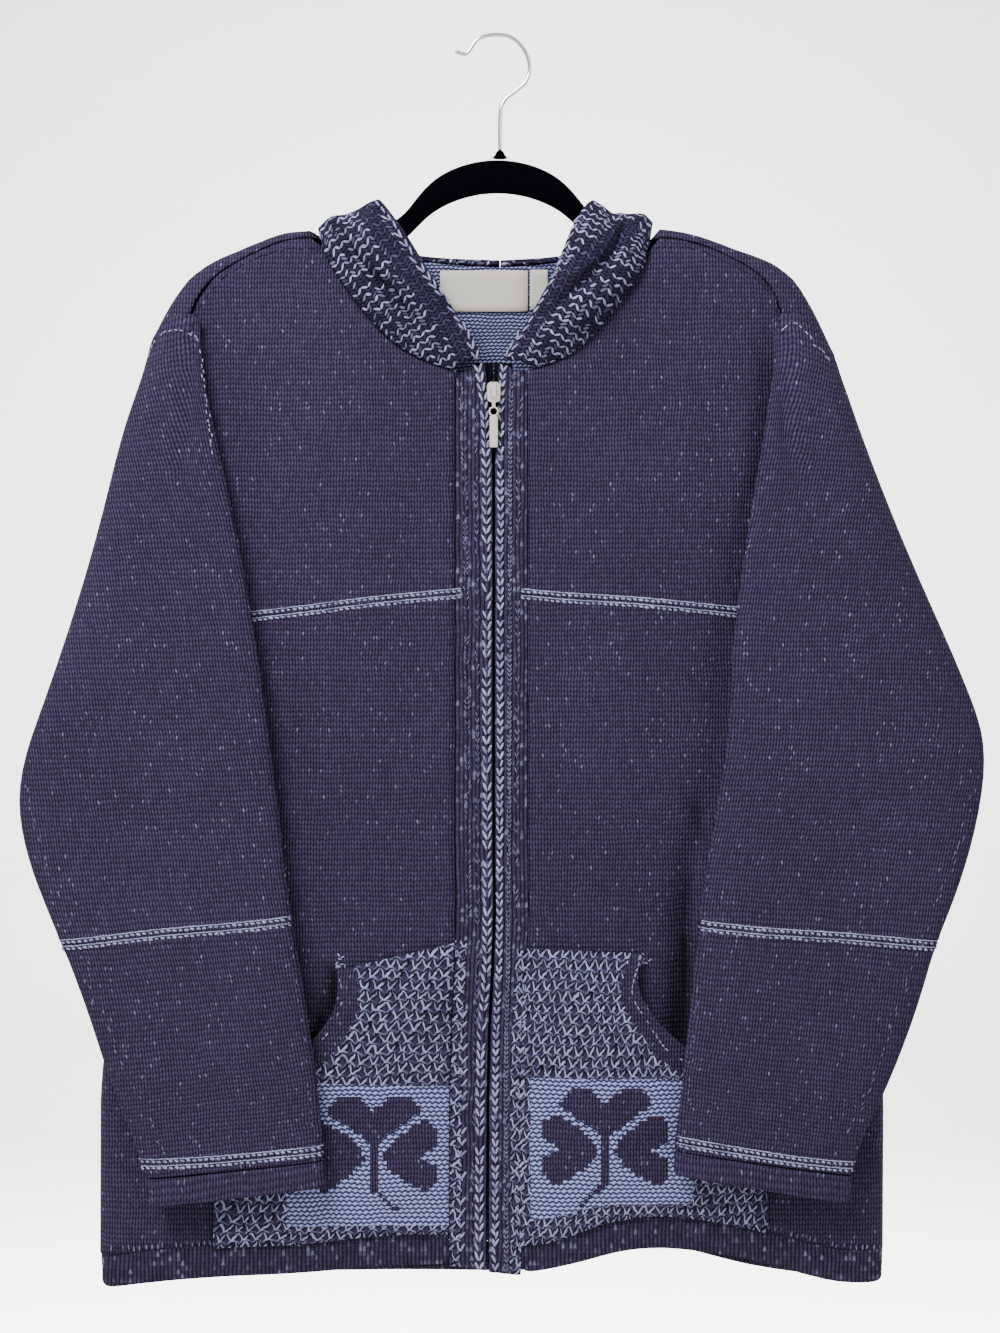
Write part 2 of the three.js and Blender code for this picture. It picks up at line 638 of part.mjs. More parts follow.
// Ten points round the sleeve: seam, under layer, inner fold, front layer, outer edge, rear.
function sleeveSection(name, at) {
  const { out } = SIDE[name];
  const table = stations(name);
  const read = (column) => along(table, 'at', at, column);
  const [xo, zo, xi, zi] = ['xo', 'zo', 'xi', 'zi'].map(read);
  const [back, front] = ['back', 'front'].map(read);
  const [seamX, seamY, rearX, rearY] = ['seamX', 'seamY', 'rearX', 'rearY'].map(read);
  const height = (x) => mix(zi, zo, (x - xi) / (xo - xi));
  const place = (x, y) => new THREE.Vector3(x, y, height(x));
  const open = at < UNDERARM_STATION;
  const fold = 7 * out;
  return [
    place(seamX, seamY),
    place(mix(seamX, xi, 0.45), open ? back : mix(back, seamY, 0.1)),
    place(xi + fold, back),
    place(xi, (back + front) / 2),
    place(xi + fold, front),
    place(mix(xi, xo, 0.5), front - 1.2),
    place(xo - 13 * out, front + 1.5),
    place(xo, mix(front, open ? rearY : back, 0.52)),
    open
      ? place(mix(xo, rearX, 0.45), mix(back, rearY, 0.72))
      : place(xo - 8 * out, mix(back, seamY, 0.5)),
    place(rearX, rearY),
  ];
}

function roundSection(points) {
  const curve = new THREE.CatmullRomCurve3(points, false, 'centripetal');
  const spans = points.length - 1;
  const ring = SECTION_STEPS.flatMap((count, s) => steps(s / spans, (s + 1) / spans, count).slice(0, -1));
  return [...ring, 1].map((t) => curve.getPoint(t));
}

// Places a row of the sleeve at a distance in millimetres from a station, along the sleeve.
function stationAway(name, station, distance) {
  const table = SLEEVE[name];
  const other = distance < 0 ? station - 1 : station + 1;
  const gap = Math.abs(table[other].zi - table[station].zi);
  return station + distance / gap;
}

function sleeve(name) {
  const across = (station) => RIDGE_STEPS.map((n) => stationAway(name, station, n * STRIPE_TALL));
  const places = [0, 1, 2, 3, 4, 5, 6, 7, 8, ...across(SLEEVE_STRIPE), 10, 11, ...across(CUFF_STRIPE)];
  const head = SLEEVE_HEAD[name].map(point);
  const grid = [roundSection(head), ...places.map((at) => roundSection(sleeveSection(name, at)))];
  const joined = (r) => r > 0 && places[r - 1] >= UNDERARM_STATION;
  const ridge = new Set([SLEEVE_STRIPE, CUFF_STRIPE].flatMap((station) => (
    [-0.25, 0.25].map((n) => stationAway(name, station, n * STRIPE_TALL)))));
  const raise = (r) => (r > 0 && ridge.has(places[r - 1]) ? STRIPE_RAISE : 0);
  return clothWall(grid, KNIT, -SIDE[name].out, { joined, raise });
}

function cuff(name) {
  const top = stationAway(name, CUFF_STRIPE, STRIPE_TALL / 2 + SEAM + 0.4);
  const foot = SLEEVE[name].length - 1;
  const grid = steps(top, foot, BAND_ROWS).map((at) => roundSection(sleeveSection(name, at)));
  return clothWall(grid, KNIT, -SIDE[name].out, { joined: () => true, raise: () => CUFF_PROUD });
}

// ---------------------------------------------------------------- pockets
// Outline of each patch, row by row from its foot: inner and outer edges. The outer edge
// leans in above the foot of the slanted hand opening.
const POCKET = {
  left: [
    { z: -903, inner: -36, outer: -213 },
    { z: -862, inner: -36, outer: -211 },
    { z: -818, inner: -36, outer: -209 },
    { z: -790, inner: -36, outer: -190 },
    { z: -768, inner: -36, outer: -160 },
    { z: -750, inner: -36, outer: -137 },
    { z: -733, inner: -36, outer: -124 },
    { z: -716, inner: -36, outer: -119 },
    { z: -699, inner: -36, outer: -121.5 },
  ],
  right: [
    { z: -899, inner: 24, outer: 199 },
    { z: -860, inner: 24, outer: 198 },
    { z: -818, inner: 24, outer: 196 },
    { z: -792, inner: 24, outer: 178 },
    { z: -770, inner: 24, outer: 150 },
    { z: -752, inner: 24, outer: 124 },
    { z: -733, inner: 24, outer: 111 },
    { z: -712, inner: 24, outer: 100 },
    { z: -687, inner: 24, outer: 106 },
  ],
};
const POCKET_TOP = { left: { inner: -676, outer: -696 }, right: { inner: -680, outer: -683 } };
const POCKET_GAPE = 6.5;          // how far the patch stands off the front inside
const POCKET_COLUMNS = [0, 0.06, 0.2, 0.35, 0.5, 0.65, 0.8, 0.94, 1];
const POCKET_ROWS = 12;
const HAND_FOOT_Z = -815;         // foot of the hand opening
const POCKET_LIFT = 0.8;          // sewn edges lie this far off the front

function pocketPoint(name, rise, share) {
  const table = POCKET[name];
  const head = table.length - 1;
  const rowZ = mix(table[0].z, table[head].z, rise);
  const x = mix(along(table, 'z', rowZ, 'inner'), along(table, 'z', rowZ, 'outer'), share);
  const foot = hemFoot(x) + HEM_TALL + 2;
  const top = mix(POCKET_TOP[name].inner, POCKET_TOP[name].outer, share);
  return { x, z: mix(foot, top, rise) };
}

// How far the patch stands off: sewn down all round but for the hand opening.
function pocketGape(name, rise, share, z) {
  const fromFoot = smooth(0, 0.16, rise);
  const fromTop = smooth(0, 0.1, 1 - rise);
  const fromInner = smooth(0, 0.2, share);
  const handOpen = smooth(HAND_FOOT_Z, HAND_FOOT_Z + 40, z);
  const fromOuter = mix(smooth(0, 0.12, 1 - share), 1, handOpen);
  return POCKET_GAPE * fromFoot * fromTop * fromInner * fromOuter;
}

function pocket(name) {
  const grid = steps(0, 1, POCKET_ROWS).map((rise) => POCKET_COLUMNS.map((share) => {
    const { x, z } = pocketPoint(name, rise, share);
    const off = POCKET_LIFT + pocketGape(name, rise, share, z) + KNIT;
    return new THREE.Vector3(x, frontDepth(x, z) - off, z);
  }));
  return clothWall(grid, KNIT, SIDE[name].out);
}

// ---------------------------------------------------------------- zip bands and zip
const RIB_HALF = 2.6;
const RIB_RAISE = 1.3;
const PLACKET_PROUD = 1;
const PLACKET_ROWS = 15;
const PLACKET_TOP = { left: { outer: -253.5, inner: -245 }, right: { outer: -252, inner: -246 } };
const ZIP_X = -4.7;
const ZIP_MOUTH_Z = -262;         // above here the zip is open and its bands part

function placket(name) {
  const { placketOuter, placketInner, ribs, out } = SIDE[name];
  const outerX = placketOuter - SEAM * out;
  const ribXs = ribs.flatMap((x) => [x - RIB_HALF, x, x + RIB_HALF]);
  const xs = [outerX, ...(out < 0 ? ribXs : ribXs.reverse()), placketInner];
  const part = name === 'left' ? 4.6 : 1.8;
  const grid = steps(0, 1, PLACKET_ROWS).map((rise) => xs.map((x) => {
    const share = (x - outerX) / (placketInner - outerX);
    const foot = hemFoot(x);
    const z = mix(foot, mix(PLACKET_TOP[name].outer, PLACKET_TOP[name].inner, share), rise);
    const parted = x + out * part * share * smooth(ZIP_MOUTH_Z, ZIP_MOUTH_Z + 14, z);
    return new THREE.Vector3(parted, frontDepth(x, z) - PLACKET_PROUD, z);
  }));
  const raise = (r, c) => (c > 0 && c < xs.length - 1 && (c - 1) % 3 === 1 ? RIB_RAISE : 0);
  return clothWall(grid, KNIT, -out, { raise });
}

const TAPE_THICK = 1;
const TAPE_WIDE = 14;

function zipTape(name) {
  const { out } = SIDE[name];
  const xs = [ZIP_X + 0.3 * out, ZIP_X + 4 * out, ZIP_X + TAPE_WIDE * out];
  const top = -244.5;
  const grid = steps(0, 1, PLACKET_ROWS).map((rise) => xs.map((x) => {
    const z = mix(hemFoot(x) + 3, top, rise);
    return new THREE.Vector3(x, frontDepth(x, z) - PLACKET_PROUD + KNIT + 0.5, z);
  }));
  return clothWall(grid, TAPE_THICK, out);
}

// Slider: a front wing with a post into the zip, and a bridge that holds the pull.
const SLIDER = { top: -259.7, wide: 10.2, tall: 15, thick: 2.2, postWide: 2.8 };
const SLIDER_BACK_Y = -14.3;
const BRIDGE = { wide: 3.7, top: -260.6, foot: -271.2, inside: 2.7, thick: 1.4, legTall: 1.7 };
const PULL = {
  pivotZ: -263.9,
  thick: 1.3,
  loopWide: 7.3,
  loopTall: 12,
  loopWire: 1.2,
  loopRound: 3,
  neckWide: 2.4,
  edge: 0.25,
  ringOuter: 3.95,
  ringHole: 2.75,
  ringZ: -281.8,
  barWide: 6.2,
  barTop: -285.2,
  barFoot: -308.3,
};

function plate(shape, depth, bevel) {
  return new THREE.ExtrudeGeometry(shape, {
    depth: depth - 2 * bevel,
    bevelEnabled: bevel > 0,
    bevelThickness: bevel,
    bevelSize: bevel,
    bevelOffset: -bevel,
    bevelSegments: 1,
    curveSegments: 4,
  });
}

// A rounded rectangle in the X-Z plane, centred on x, between two heights.
function roundedPlate(x, foot, top, wide, radius, depth, bevel, frontY) {
  const shape = new THREE.Shape();
  const [l, r] = [x - wide / 2, x + wide / 2];
  shape.moveTo(l + radius, foot);
  shape.lineTo(r - radius, foot);
  shape.absarc(r - radius, foot + radius, radius, -Math.PI / 2, 0);
  shape.lineTo(r, top - radius);
  shape.absarc(r - radius, top - radius, radius, 0, Math.PI / 2);
  shape.lineTo(l + radius, top);
  shape.absarc(l + radius, top - radius, radius, Math.PI / 2, Math.PI);
  shape.lineTo(l, foot + radius);
  shape.absarc(l + radius, foot + radius, radius, Math.PI, 1.5 * Math.PI);
  const geometry = plate(shape, depth, bevel);
  geometry.rotateX(Math.PI / 2);
  geometry.translate(0, frontY + depth - bevel, 0);
  return geometry;
}

const sliderFaceY = SLIDER_BACK_Y - SLIDER.thick;

function zipSlider() {
  const foot = SLIDER.top - SLIDER.tall;
  const wing = roundedPlate(ZIP_X, foot, SLIDER.top, SLIDER.wide, 3.2, SLIDER.thick, 0.4, sliderFaceY);
  const post = new THREE.BoxGeometry(SLIDER.postWide, 3.4, SLIDER.tall - 5);
  post.translate(ZIP_X, SLIDER_BACK_Y + 1.5, (foot + SLIDER.top) / 2);
  const archTop = sliderFaceY - BRIDGE.inside;
  const archTall = BRIDGE.top - BRIDGE.foot;
  const arch = new THREE.BoxGeometry(BRIDGE.wide, BRIDGE.thick, archTall);
  arch.translate(ZIP_X, archTop - BRIDGE.thick / 2, BRIDGE.top - archTall / 2);
  const leg = (z) => {
    const box = new THREE.BoxGeometry(BRIDGE.wide, BRIDGE.inside + 0.6, BRIDGE.legTall);
    box.translate(ZIP_X, archTop + BRIDGE.inside / 2, z);
    return box;
  };
  const legs = [BRIDGE.top - BRIDGE.legTall / 2, BRIDGE.foot + BRIDGE.legTall / 2].map(leg);
  const solids = [wing, post, arch, ...legs].map(toManifold);
  return fromManifold(solids.reduce((whole, solid) => whole.add(solid)));
}

function zipPull() {
  const y = sliderFaceY - BRIDGE.inside / 2 - PULL.thick / 2;
  const loopTop = PULL.pivotZ + PULL.loopWire / 2;
  const loopFoot = loopTop - PULL.loopTall;
  const disc = (radius, thick, frontY) => {
    const shape = new THREE.Shape();
    shape.absarc(ZIP_X, PULL.ringZ, radius, 0, 2 * Math.PI);
    const geometry = plate(shape, thick, 0);
    geometry.rotateX(Math.PI / 2);
    geometry.translate(0, frontY + thick, 0);
    return toManifold(geometry);
  };
  const bar = (foot, top, wide, radius, bevel) => (
    toManifold(roundedPlate(ZIP_X, foot, top, wide, radius, PULL.thick, bevel, y)));
  const eye = toManifold(roundedPlate(
    ZIP_X, loopFoot + PULL.loopWire, loopTop - PULL.loopWire,
    PULL.loopWide - 2 * PULL.loopWire, PULL.loopRound - PULL.loopWire, 3 * PULL.thick, 0, y - PULL.thick,
  ));
  const loop = bar(loopFoot, loopTop, PULL.loopWide, PULL.loopRound, 0).subtract(eye);
  const neck = bar(PULL.ringZ + PULL.ringHole + 0.25, loopFoot + PULL.loopWire / 2, PULL.neckWide, 0.4, 0);
  const tab = bar(PULL.barFoot, PULL.barTop, PULL.barWide, 1, PULL.edge);
  const ring = disc(PULL.ringOuter, PULL.thick, y);
  const hole = disc(PULL.ringHole, 3 * PULL.thick, y - PULL.thick);
  return fromManifold(loop.add(neck).add(tab).add(ring).subtract(hole));
}

// ---------------------------------------------------------------- hood
const HOOD_COLUMNS = 18;
const HOOD_SPANS = [2, 2, 3, 2, 2, 3];       // rows between a profile's seven points
const POUCH = { rise: 4.5, clear: 13.6, inner: 0.22, below: 0.27, fold: 0.52, outer: 0.81, turn: 16 };

// Seven points from the neck seam to the face edge at one place round the neck.
function hoodProfile(row) {
  const seam = new THREE.Vector3(row.seamX, row.seamY, row.seamZ);
  const edge = new THREE.Vector3(row.edgeX, row.edgeY, row.edgeZ);
  const strip = steps(0, 1, 6).map((t) => {
    const p = new THREE.Vector3().lerpVectors(seam, edge, t);
    const swell = row.swell * Math.sin(Math.PI * t) ** 0.7;
    p.y -= swell;
    p.z += swell * 0.25;
    return p;
  });
  if (row.hang <= 0) return strip;
  const x = (t, spread = row.spread) => mix(seam.x, edge.x, t) * spread;
  const y = (t) => Math.max(POUCH.clear + t, mix(seam.y, edge.y, t));
  const turn = Math.min(POUCH.turn, (seam.z - row.foot) * 0.2);
  const pouch = [
    seam,
    new THREE.Vector3(x(0.05, 1), seam.y + 2.5, seam.z + POUCH.rise),
    new THREE.Vector3(x(0.15, mix(1, row.spread, 0.4)), y(POUCH.inner), mix(seam.z, row.foot, 0.25)),
    new THREE.Vector3(x(0.5), y(POUCH.below), row.foot + turn),
    new THREE.Vector3(x(0.55), y(POUCH.fold), row.foot),
    new THREE.Vector3(x(0.6), y(POUCH.outer), row.foot + turn),
    edge,
  ];
  return strip.map((p, i) => p.lerp(pouch[i], row.hang));
}

function hoodRow(name, at) {
  const table = HOOD[name].map((row) => ({
    at: row.at,
    seamX: row.seam[0],
    seamY: row.seam[1],
    seamZ: row.seam[2],
    edgeX: row.edge[0],
    edgeY: row.edge[1],
    edgeZ: row.edge[2],
    swell: row.swell,
    spread: row.spread,
    foot: row.foot ?? (row.seam[2] + row.edge[2]) / 2,
    hang: row.foot === null ? 0 : 1,
  }));
  const columns = Object.keys(table[0]).filter((key) => key !== 'at');
  const row = Object.fromEntries(columns.map((key) => [key, along(table, 'at', at, key)]));
  row.hang = clamp01(row.hang);
  return row;
}

function hoodHalf(name) {
  const last = HOOD[name].length - 1;
  const columns = steps(0, last, HOOD_COLUMNS).map((at) => {
    const profile = hoodProfile(hoodRow(name, at));
    const curve = new THREE.CatmullRomCurve3(profile, false, 'centripetal');
    const spans = profile.length - 1;
    const places = HOOD_SPANS.flatMap((count, s) => steps(s / spans, (s + 1) / spans, count).slice(0, -1));
    return [...places, 1].map((t) => curve.getPoint(t));
  });
  const grid = columns[0].map((_, r) => columns.map((column) => column[r]));
  const settle = (normal, r, c) => {
    if (c === HOOD_COLUMNS) normal.setX(0).normalize();
  };
  return clothWall(grid, KNIT, SIDE[name].out, { settle });
}

// ---------------------------------------------------------------- labels
const LABEL = { left: -45, right: 21, top: -174, foot: -205, thick: 0.8 };
const SIZE_TAB = { left: 22.4, right: 36, top: -173.5, foot: -203.5, thick: 0.8 };

// A label lies on the inside of the back.
function label({ left, right, top, foot, thick }) {
  const grid = steps(foot, top, 3).map((z) => steps(left, right, 4).map((x) => (
    new THREE.Vector3(x, NECK_Y - 0.6 - KNIT - 0.6, z))));
  return clothWall(grid, thick, -1);
}

// ---------------------------------------------------------------- hanger
// Half outline of the hanger's arms from the collar: upper and lower edges.
const ARM = [
  { x: 0, top: -91, foot: -116 },
  { x: 24, top: -94.5, foot: -119.5 },
  { x: 44, top: -103.5, foot: -128 },
  { x: 56, top: -115, foot: -138 },
  { x: 64, top: -125.5, foot: -147 },
  { x: 70, top: -133, foot: -152 },
  { x: 80, top: -140, foot: -160 },
  { x: 112, top: -158.5, foot: -180 },
  { x: 150, top: -167, foot: -189 },
  { x: 185, top: -182, foot: -202 },
  { x: 200, top: -192, foot: -208 },
];
const HANGER_X = -2;              // the arms hang this far off the hook's line

function hangerBody() {
  const shape = new THREE.Shape();
  const tip = ARM[ARM.length - 1];
  const upper = ARM.map(({ x, top }) => [x, top]);
  const lower = ARM.map(({ x, foot }) => [x, foot]).reverse();
  const round = [[tip.x + 6, mix(tip.top, tip.foot, 0.35)], [tip.x + 5, mix(tip.top, tip.foot, 0.75)]];
  const half = [...upper, ...round, ...lower];
  const mirrored = half.slice(1, -1).reverse().map(([x, z]) => [-x, z]);
  [...half, ...mirrored].forEach(([x, z], i) => (i === 0 ? shape.moveTo(x, z) : shape.lineTo(x, z)));
  const geometry = plate(shape, HANGER_THICK, 1.6);
  geometry.rotateX(Math.PI / 2);
  geometry.translate(HANGER_X, HANGER_THICK / 2 - 1.6, 0);
  return fromManifold(toManifold(geometry));
}

const COLLAR = { top: -85.6, foot: -90.6, topRadius: 2.7, footRadius: 6 };

function hangerCollar() {
  const { top, foot, topRadius, footRadius } = COLLAR;
  const profile = [
    new THREE.Vector2(0, foot),
    new THREE.Vector2(footRadius, foot),
    new THREE.Vector2(footRadius * 0.62, mix(foot, top, 0.4)),
    new THREE.Vector2(topRadius, top),
    new THREE.Vector2(0, top),
  ];
  const geometry = new THREE.LatheGeometry(profile, 16);
  geometry.rotateX(Math.PI / 2);
  return fromManifold(toManifold(geometry));
}

// Centre line of the hook's wire, from its free tip over the crook and down to the collar.
const HOOK_LINE = [
  [-33.4, -11], [-25.2, -12.6], [-17.5, -2.4], [-9.6, 0.9], [0, 1.5], [9, -0.8], [16.6, -7.6],
  [21.4, -17], [22, -26], [18.6, -34.4], [11.6, -40.6], [5, -45.6], [1, -52.4], [0, -62],
  [0, COLLAR.top + 0.4],
];

function hangerHook() {
  const path = new THREE.CatmullRomCurve3(HOOK_LINE.map(([x, z]) => new THREE.Vector3(x, 0, z)));
  const section = new THREE.Shape();
  section.absarc(0, 0, HOOK_WIRE / 2, 0, 2 * Math.PI);
  const geometry = new THREE.ExtrudeGeometry(section, {
    extrudePath: path,
    steps: 36,
    curveSegments: 4,
    bevelEnabled: false,
  });
  return fromManifold(toManifold(geometry));
}

// ---------------------------------------------------------------- the whole
const finish = (color, roughness, metalness) => (
  new THREE.MeshStandardMaterial({ color, roughness, metalness }));

const navyKnit = () => finish('#34335c', 0.95, 0);
const fleckKnit = () => finish('#5c628d', 0.95, 0);
const purlKnit = () => finish('#454a78', 0.95, 0);
const blackTape = () => finish('#0b0b10', 0.9, 0);
const labelCloth = () => finish('#d9d5c4', 0.85, 0);
const nickel = () => finish('#cfcbbd', 0.28, 1);
const chrome = () => finish('#b9bcc0', 0.22, 1);
const velvet = () => finish('#08080a', 1, 0);

const sweater = new THREE.Group();
sweater.name = 'sweater_on_hanger';

function addPiece(name, geometry, material) {
  const mesh = new THREE.Mesh(geometry, material);
  mesh.name = name;
  sweater.add(mesh);
}

addPiece('hanger_hook', hangerHook(), chrome());
addPiece('hanger_collar', hangerCollar(), velvet());
addPiece('hanger_body', hangerBody(), velvet());
addPiece('back_panel', backPanel(), navyKnit());
addPiece('hem_back', hemBack(), navyKnit());
for (const name of ['left', 'right']) {
  addPiece(`front_${name}`, frontPanel(name), navyKnit());
  addPiece(`hem_${name}`, hemFront(name), navyKnit());
  addPiece(`sleeve_${name}`, sleeve(name), navyKnit());
  addPiece(`cuff_${name}`, cuff(name), navyKnit());
  addPiece(`pocket_${name}`, pocket(name), fleckKnit());
  addPiece(`placket_${name}`, placket(name), purlKnit());
  addPiece(`zip_tape_${name}`, zipTape(name), blackTape());
  addPiece(`hood_${name}`, hoodHalf(name), fleckKnit());
}
addPiece('neck_label', label(LABEL), labelCloth());
addPiece('size_tab', label(SIZE_TAB), labelCloth());
addPiece('zip_slider', zipSlider(), nickel());
addPiece('zip_pull', zipPull(), nickel());

export default sweater;
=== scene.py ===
"""A zip-up hooded sweater in tweedy navy knit, hanging from a flat velvet hanger."""
import math
import bmesh
import bpy
import numpy as np
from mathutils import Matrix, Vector
from mathutils.bvhtree import BVHTree


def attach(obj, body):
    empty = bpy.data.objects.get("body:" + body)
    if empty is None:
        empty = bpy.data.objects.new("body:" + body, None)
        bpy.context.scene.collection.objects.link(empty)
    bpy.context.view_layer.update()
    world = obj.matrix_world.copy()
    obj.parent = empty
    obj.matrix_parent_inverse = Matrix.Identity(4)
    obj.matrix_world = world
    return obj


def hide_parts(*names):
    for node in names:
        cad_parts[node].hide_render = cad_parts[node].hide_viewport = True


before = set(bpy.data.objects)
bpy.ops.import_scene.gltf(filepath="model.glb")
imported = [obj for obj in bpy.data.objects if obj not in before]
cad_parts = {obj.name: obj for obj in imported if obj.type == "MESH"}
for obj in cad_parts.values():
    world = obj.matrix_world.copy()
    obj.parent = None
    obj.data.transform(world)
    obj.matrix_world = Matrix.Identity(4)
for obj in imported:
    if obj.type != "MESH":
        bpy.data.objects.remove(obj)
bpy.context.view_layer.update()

MM = 0.001
BODY = "sweater_on_hanger"
OUT = {"left": -1, "right": 1}      # the way out from the middle, in x, on each side
TAU = 2 * math.pi
rng = np.random.default_rng(7)

# ------------------------------------------------------------------ sizes, in millimetres
WALE = 4.4                  # width of one column of stitches
COURSE = 3.8                # height of one row of stitches
PURL_TALL = 3.3             # height of one row of the reversed knit
RIB_STITCH = (3.0, 3.4)     # width and height of a stitch in the bands
LEAF_STITCH = (3.1, 3.4)    # width and height of a stitch in the pockets' leaves
HOOD_STITCH = (3.9, 3.0)    # width and height of a leg of yarn in the hood
HOOK_WIRE = 3.0             # diameter of the hook's wire
ZIP_X = -4.7                # the zip's middle

# Where the sleeve's fold lies at each height: the line its columns of stitches follow.
FOLD = {
    "left": [(-256, -221), (-295, -210.5), (-377, -192), (-448, -180.5), (-548, -166.5),
             (-634, -156), (-722, -141), (-779, -133), (-855, -128.4)],
    "right": [(-252, 204), (-292, 195.5), (-377, 181), (-446, 172), (-530, 167),
              (-634, 149), (-724, 139), (-781, 132.5), (-847, 127.6)],
}

# Face edge of each half of the hood, from the zip to the middle of the back.
FACE_EDGE = {
    "left": [(-13, -17.5, -239.5), (-33, -20, -207), (-54, -20, -174), (-72, -16, -148), (-82, -10.5, -134),
             (-90, -2, -124.5), (-93, 20, -129), (-90, 36, -152), (-54, 42, -215), (-0.3, 44, -262)],
    "right": [(2, -17.5, -243), (18, -20, -217), (33.5, -20, -190), (47, -17, -160), (57.5, -12, -138),
              (68, -3, -124.5), (73, 20, -128), (74, 36, -152), (46, 42, -215), (0.3, 44, -262)],
}


def smooth(a, b, x):
    """0 at a, 1 at b, smoothly between."""
    t = np.clip((x - a) / (b - a), 0, 1)
    return t * t * (3 - 2 * t)


def table(rows, x):
    """Value of a two-column table at x."""
    rows = sorted(rows)
    return np.interp(x, [r[0] for r in rows], [r[1] for r in rows])


def spline(points, count):
    """A smooth curve through points, at count even steps."""
    p = np.array(points, float)
    p = np.vstack([2 * p[0] - p[1], p, 2 * p[-1] - p[-2]])
    t = np.linspace(0, len(points) - 1, count)
    i = np.minimum(t.astype(int), len(points) - 2)
    f = (t - i)[:, None]
    a, b, c, d = p[i], p[i + 1], p[i + 2], p[i + 3]
    return 0.5 * (2 * b + (c - a) * f + (2 * a - 5 * b + 4 * c - d) * f ** 2 + (3 * b - a - 3 * c + d) * f ** 3)


def even(points, pitch, fineness=40):
    """Points every pitch along a smooth curve."""
    fine = spline(points, fineness * len(points))
    run = np.concatenate([[0], np.cumsum(np.linalg.norm(np.diff(fine, axis=0), axis=1))])
    at = np.linspace(0, run[-1], max(2, int(round(run[-1] / pitch)) + 1))
    return np.stack([np.interp(at, run, fine[:, k]) for k in range(fine.shape[1])], axis=1)


def nearest(points, line):
    """Distance from points to a line of points, and how far along it the nearest place is."""
    best = np.full(len(points), np.inf)
    along = np.zeros(len(points))
    start = 0.0
    for a, b in zip(line[:-1], line[1:]):
        d = b - a
        length = np.linalg.norm(d)
        t = np.clip((points - a) @ d / length ** 2, 0, 1)
        gap = np.linalg.norm(points - (a + t[:, None] * d), axis=1)
        closer = gap < best
        best = np.where(closer, gap, best)
        along = np.where(closer, start + t * length, along)
        start += length
    return best, along


# ------------------------------------------------------------------ shapes
def add(name, data):
    """An object of this mesh, lamp or camera, in the scene."""
    obj = bpy.data.objects.new(name, data)
    bpy.context.scene.collection.objects.link(obj)
    return obj


def smooth_mesh(name, points, faces):
    """A mesh from points in millimetres, shaded smooth."""
    mesh = bpy.data.meshes.new(name)
    mesh.from_pydata((np.array(points, float) * MM).tolist(), [], faces)
    mesh.polygons.foreach_set("use_smooth", [True] * len(mesh.polygons))
    return mesh


def grid_mesh(name, grid, tubular=False):
    """A mesh from rows of points in millimetres. tubular joins each row's ends and closes both end rows."""
    rows, columns = len(grid), len(grid[0])
    faces = []
    for r in range(rows - 1):
        for c in range(columns if tubular else columns - 1):
            d = (c + 1) % columns
            faces.append((r * columns + c, r * columns + d, (r + 1) * columns + d, (r + 1) * columns + c))
    if tubular:
        faces.append(tuple(range(columns))[::-1])
        faces.append(tuple((rows - 1) * columns + c for c in range(columns)))
    return smooth_mesh(name, [p for row in grid for p in row], faces)


def tube(name, line, radius, sides=12):
    """A round wire along a line of points, in millimetres."""
    line = np.array(line, float)
    ahead = np.gradient(line, axis=0)
    ahead /= np.linalg.norm(ahead, axis=1)[:, None]
    across = np.cross(ahead, [0, 1, 0])
    across /= np.linalg.norm(across, axis=1)[:, None]
    up = np.cross(ahead, across)
    angle = np.linspace(0, TAU, sides, endpoint=False)
    grid = [[p + radius * (math.cos(a) * s + math.sin(a) * u) for a in angle]
            for p, s, u in zip(line, across, up)]
    return add(name, grid_mesh(name, grid, tubular=True))


FLAT = math.radians(50)      # facets that meet at less than this are joined to quads
SHARP = math.radians(55)     # edges that meet at more than this can be creased


def softened(name, node, levels, crease):
    """A smooth copy of a node's solid: its facets joined to quads and subdivided. crease keeps its sharp edges,
    from 0 to 1, and may be a function of the edge's middle, in millimetres."""
    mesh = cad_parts[node].data.copy()
    shape = bmesh.new()
    shape.from_mesh(mesh)
    bmesh.ops.remove_doubles(shape, verts=shape.verts, dist=1e-6)
    bmesh.ops.join_triangles(shape, faces=shape.faces, angle_face_threshold=FLAT, angle_shape_threshold=FLAT)
    layer = shape.edges.layers.float.new("crease_edge")
    for edge in shape.edges:
        if edge.is_manifold and edge.calc_face_angle(0) > SHARP:
            middle = (edge.verts[0].co + edge.verts[1].co) / 2 / MM
            edge[layer] = crease(middle) if callable(crease) else crease
    shape.to_mesh(mesh)
    shape.free()
    coarse = add(name + " coarse", mesh)
    subdivide = coarse.modifiers.new("Subdivide", "SUBSURF")
    subdivide.levels = levels
    bpy.context.view_layer.update()
    fine = bpy.data.meshes.new_from_object(coarse.evaluated_get(bpy.context.evaluated_depsgraph_get()))
    bpy.data.objects.remove(coarse)
    fine.materials.clear()
    for old in list(fine.uv_layers):
        fine.uv_layers.remove(old)
    fine.name = name
    fine.polygons.foreach_set("use_smooth", [True] * len(fine.polygons))
    return add(name, fine)


def points_of(obj):
    """An object's points, in millimetres."""
    places = np.empty(len(obj.data.vertices) * 3)
    obj.data.vertices.foreach_get("co", places)
    return places.reshape(-1, 3) / MM


def move(obj, points):
    """Puts an object's points at new places, in millimetres."""
    obj.data.vertices.foreach_set("co", (points * MM).ravel())
    obj.data.update()


def chart(obj, name, u, v):
    """Stores two lengths in millimetres at every point, for the knit to follow."""
    loops = np.empty(len(obj.data.loops), int)
    obj.data.loops.foreach_get("vertex_index", loops)
    layer = obj.data.uv_layers.new(name=name)
    layer.data.foreach_set("uv", np.stack([u[loops], v[loops]], axis=1).ravel())


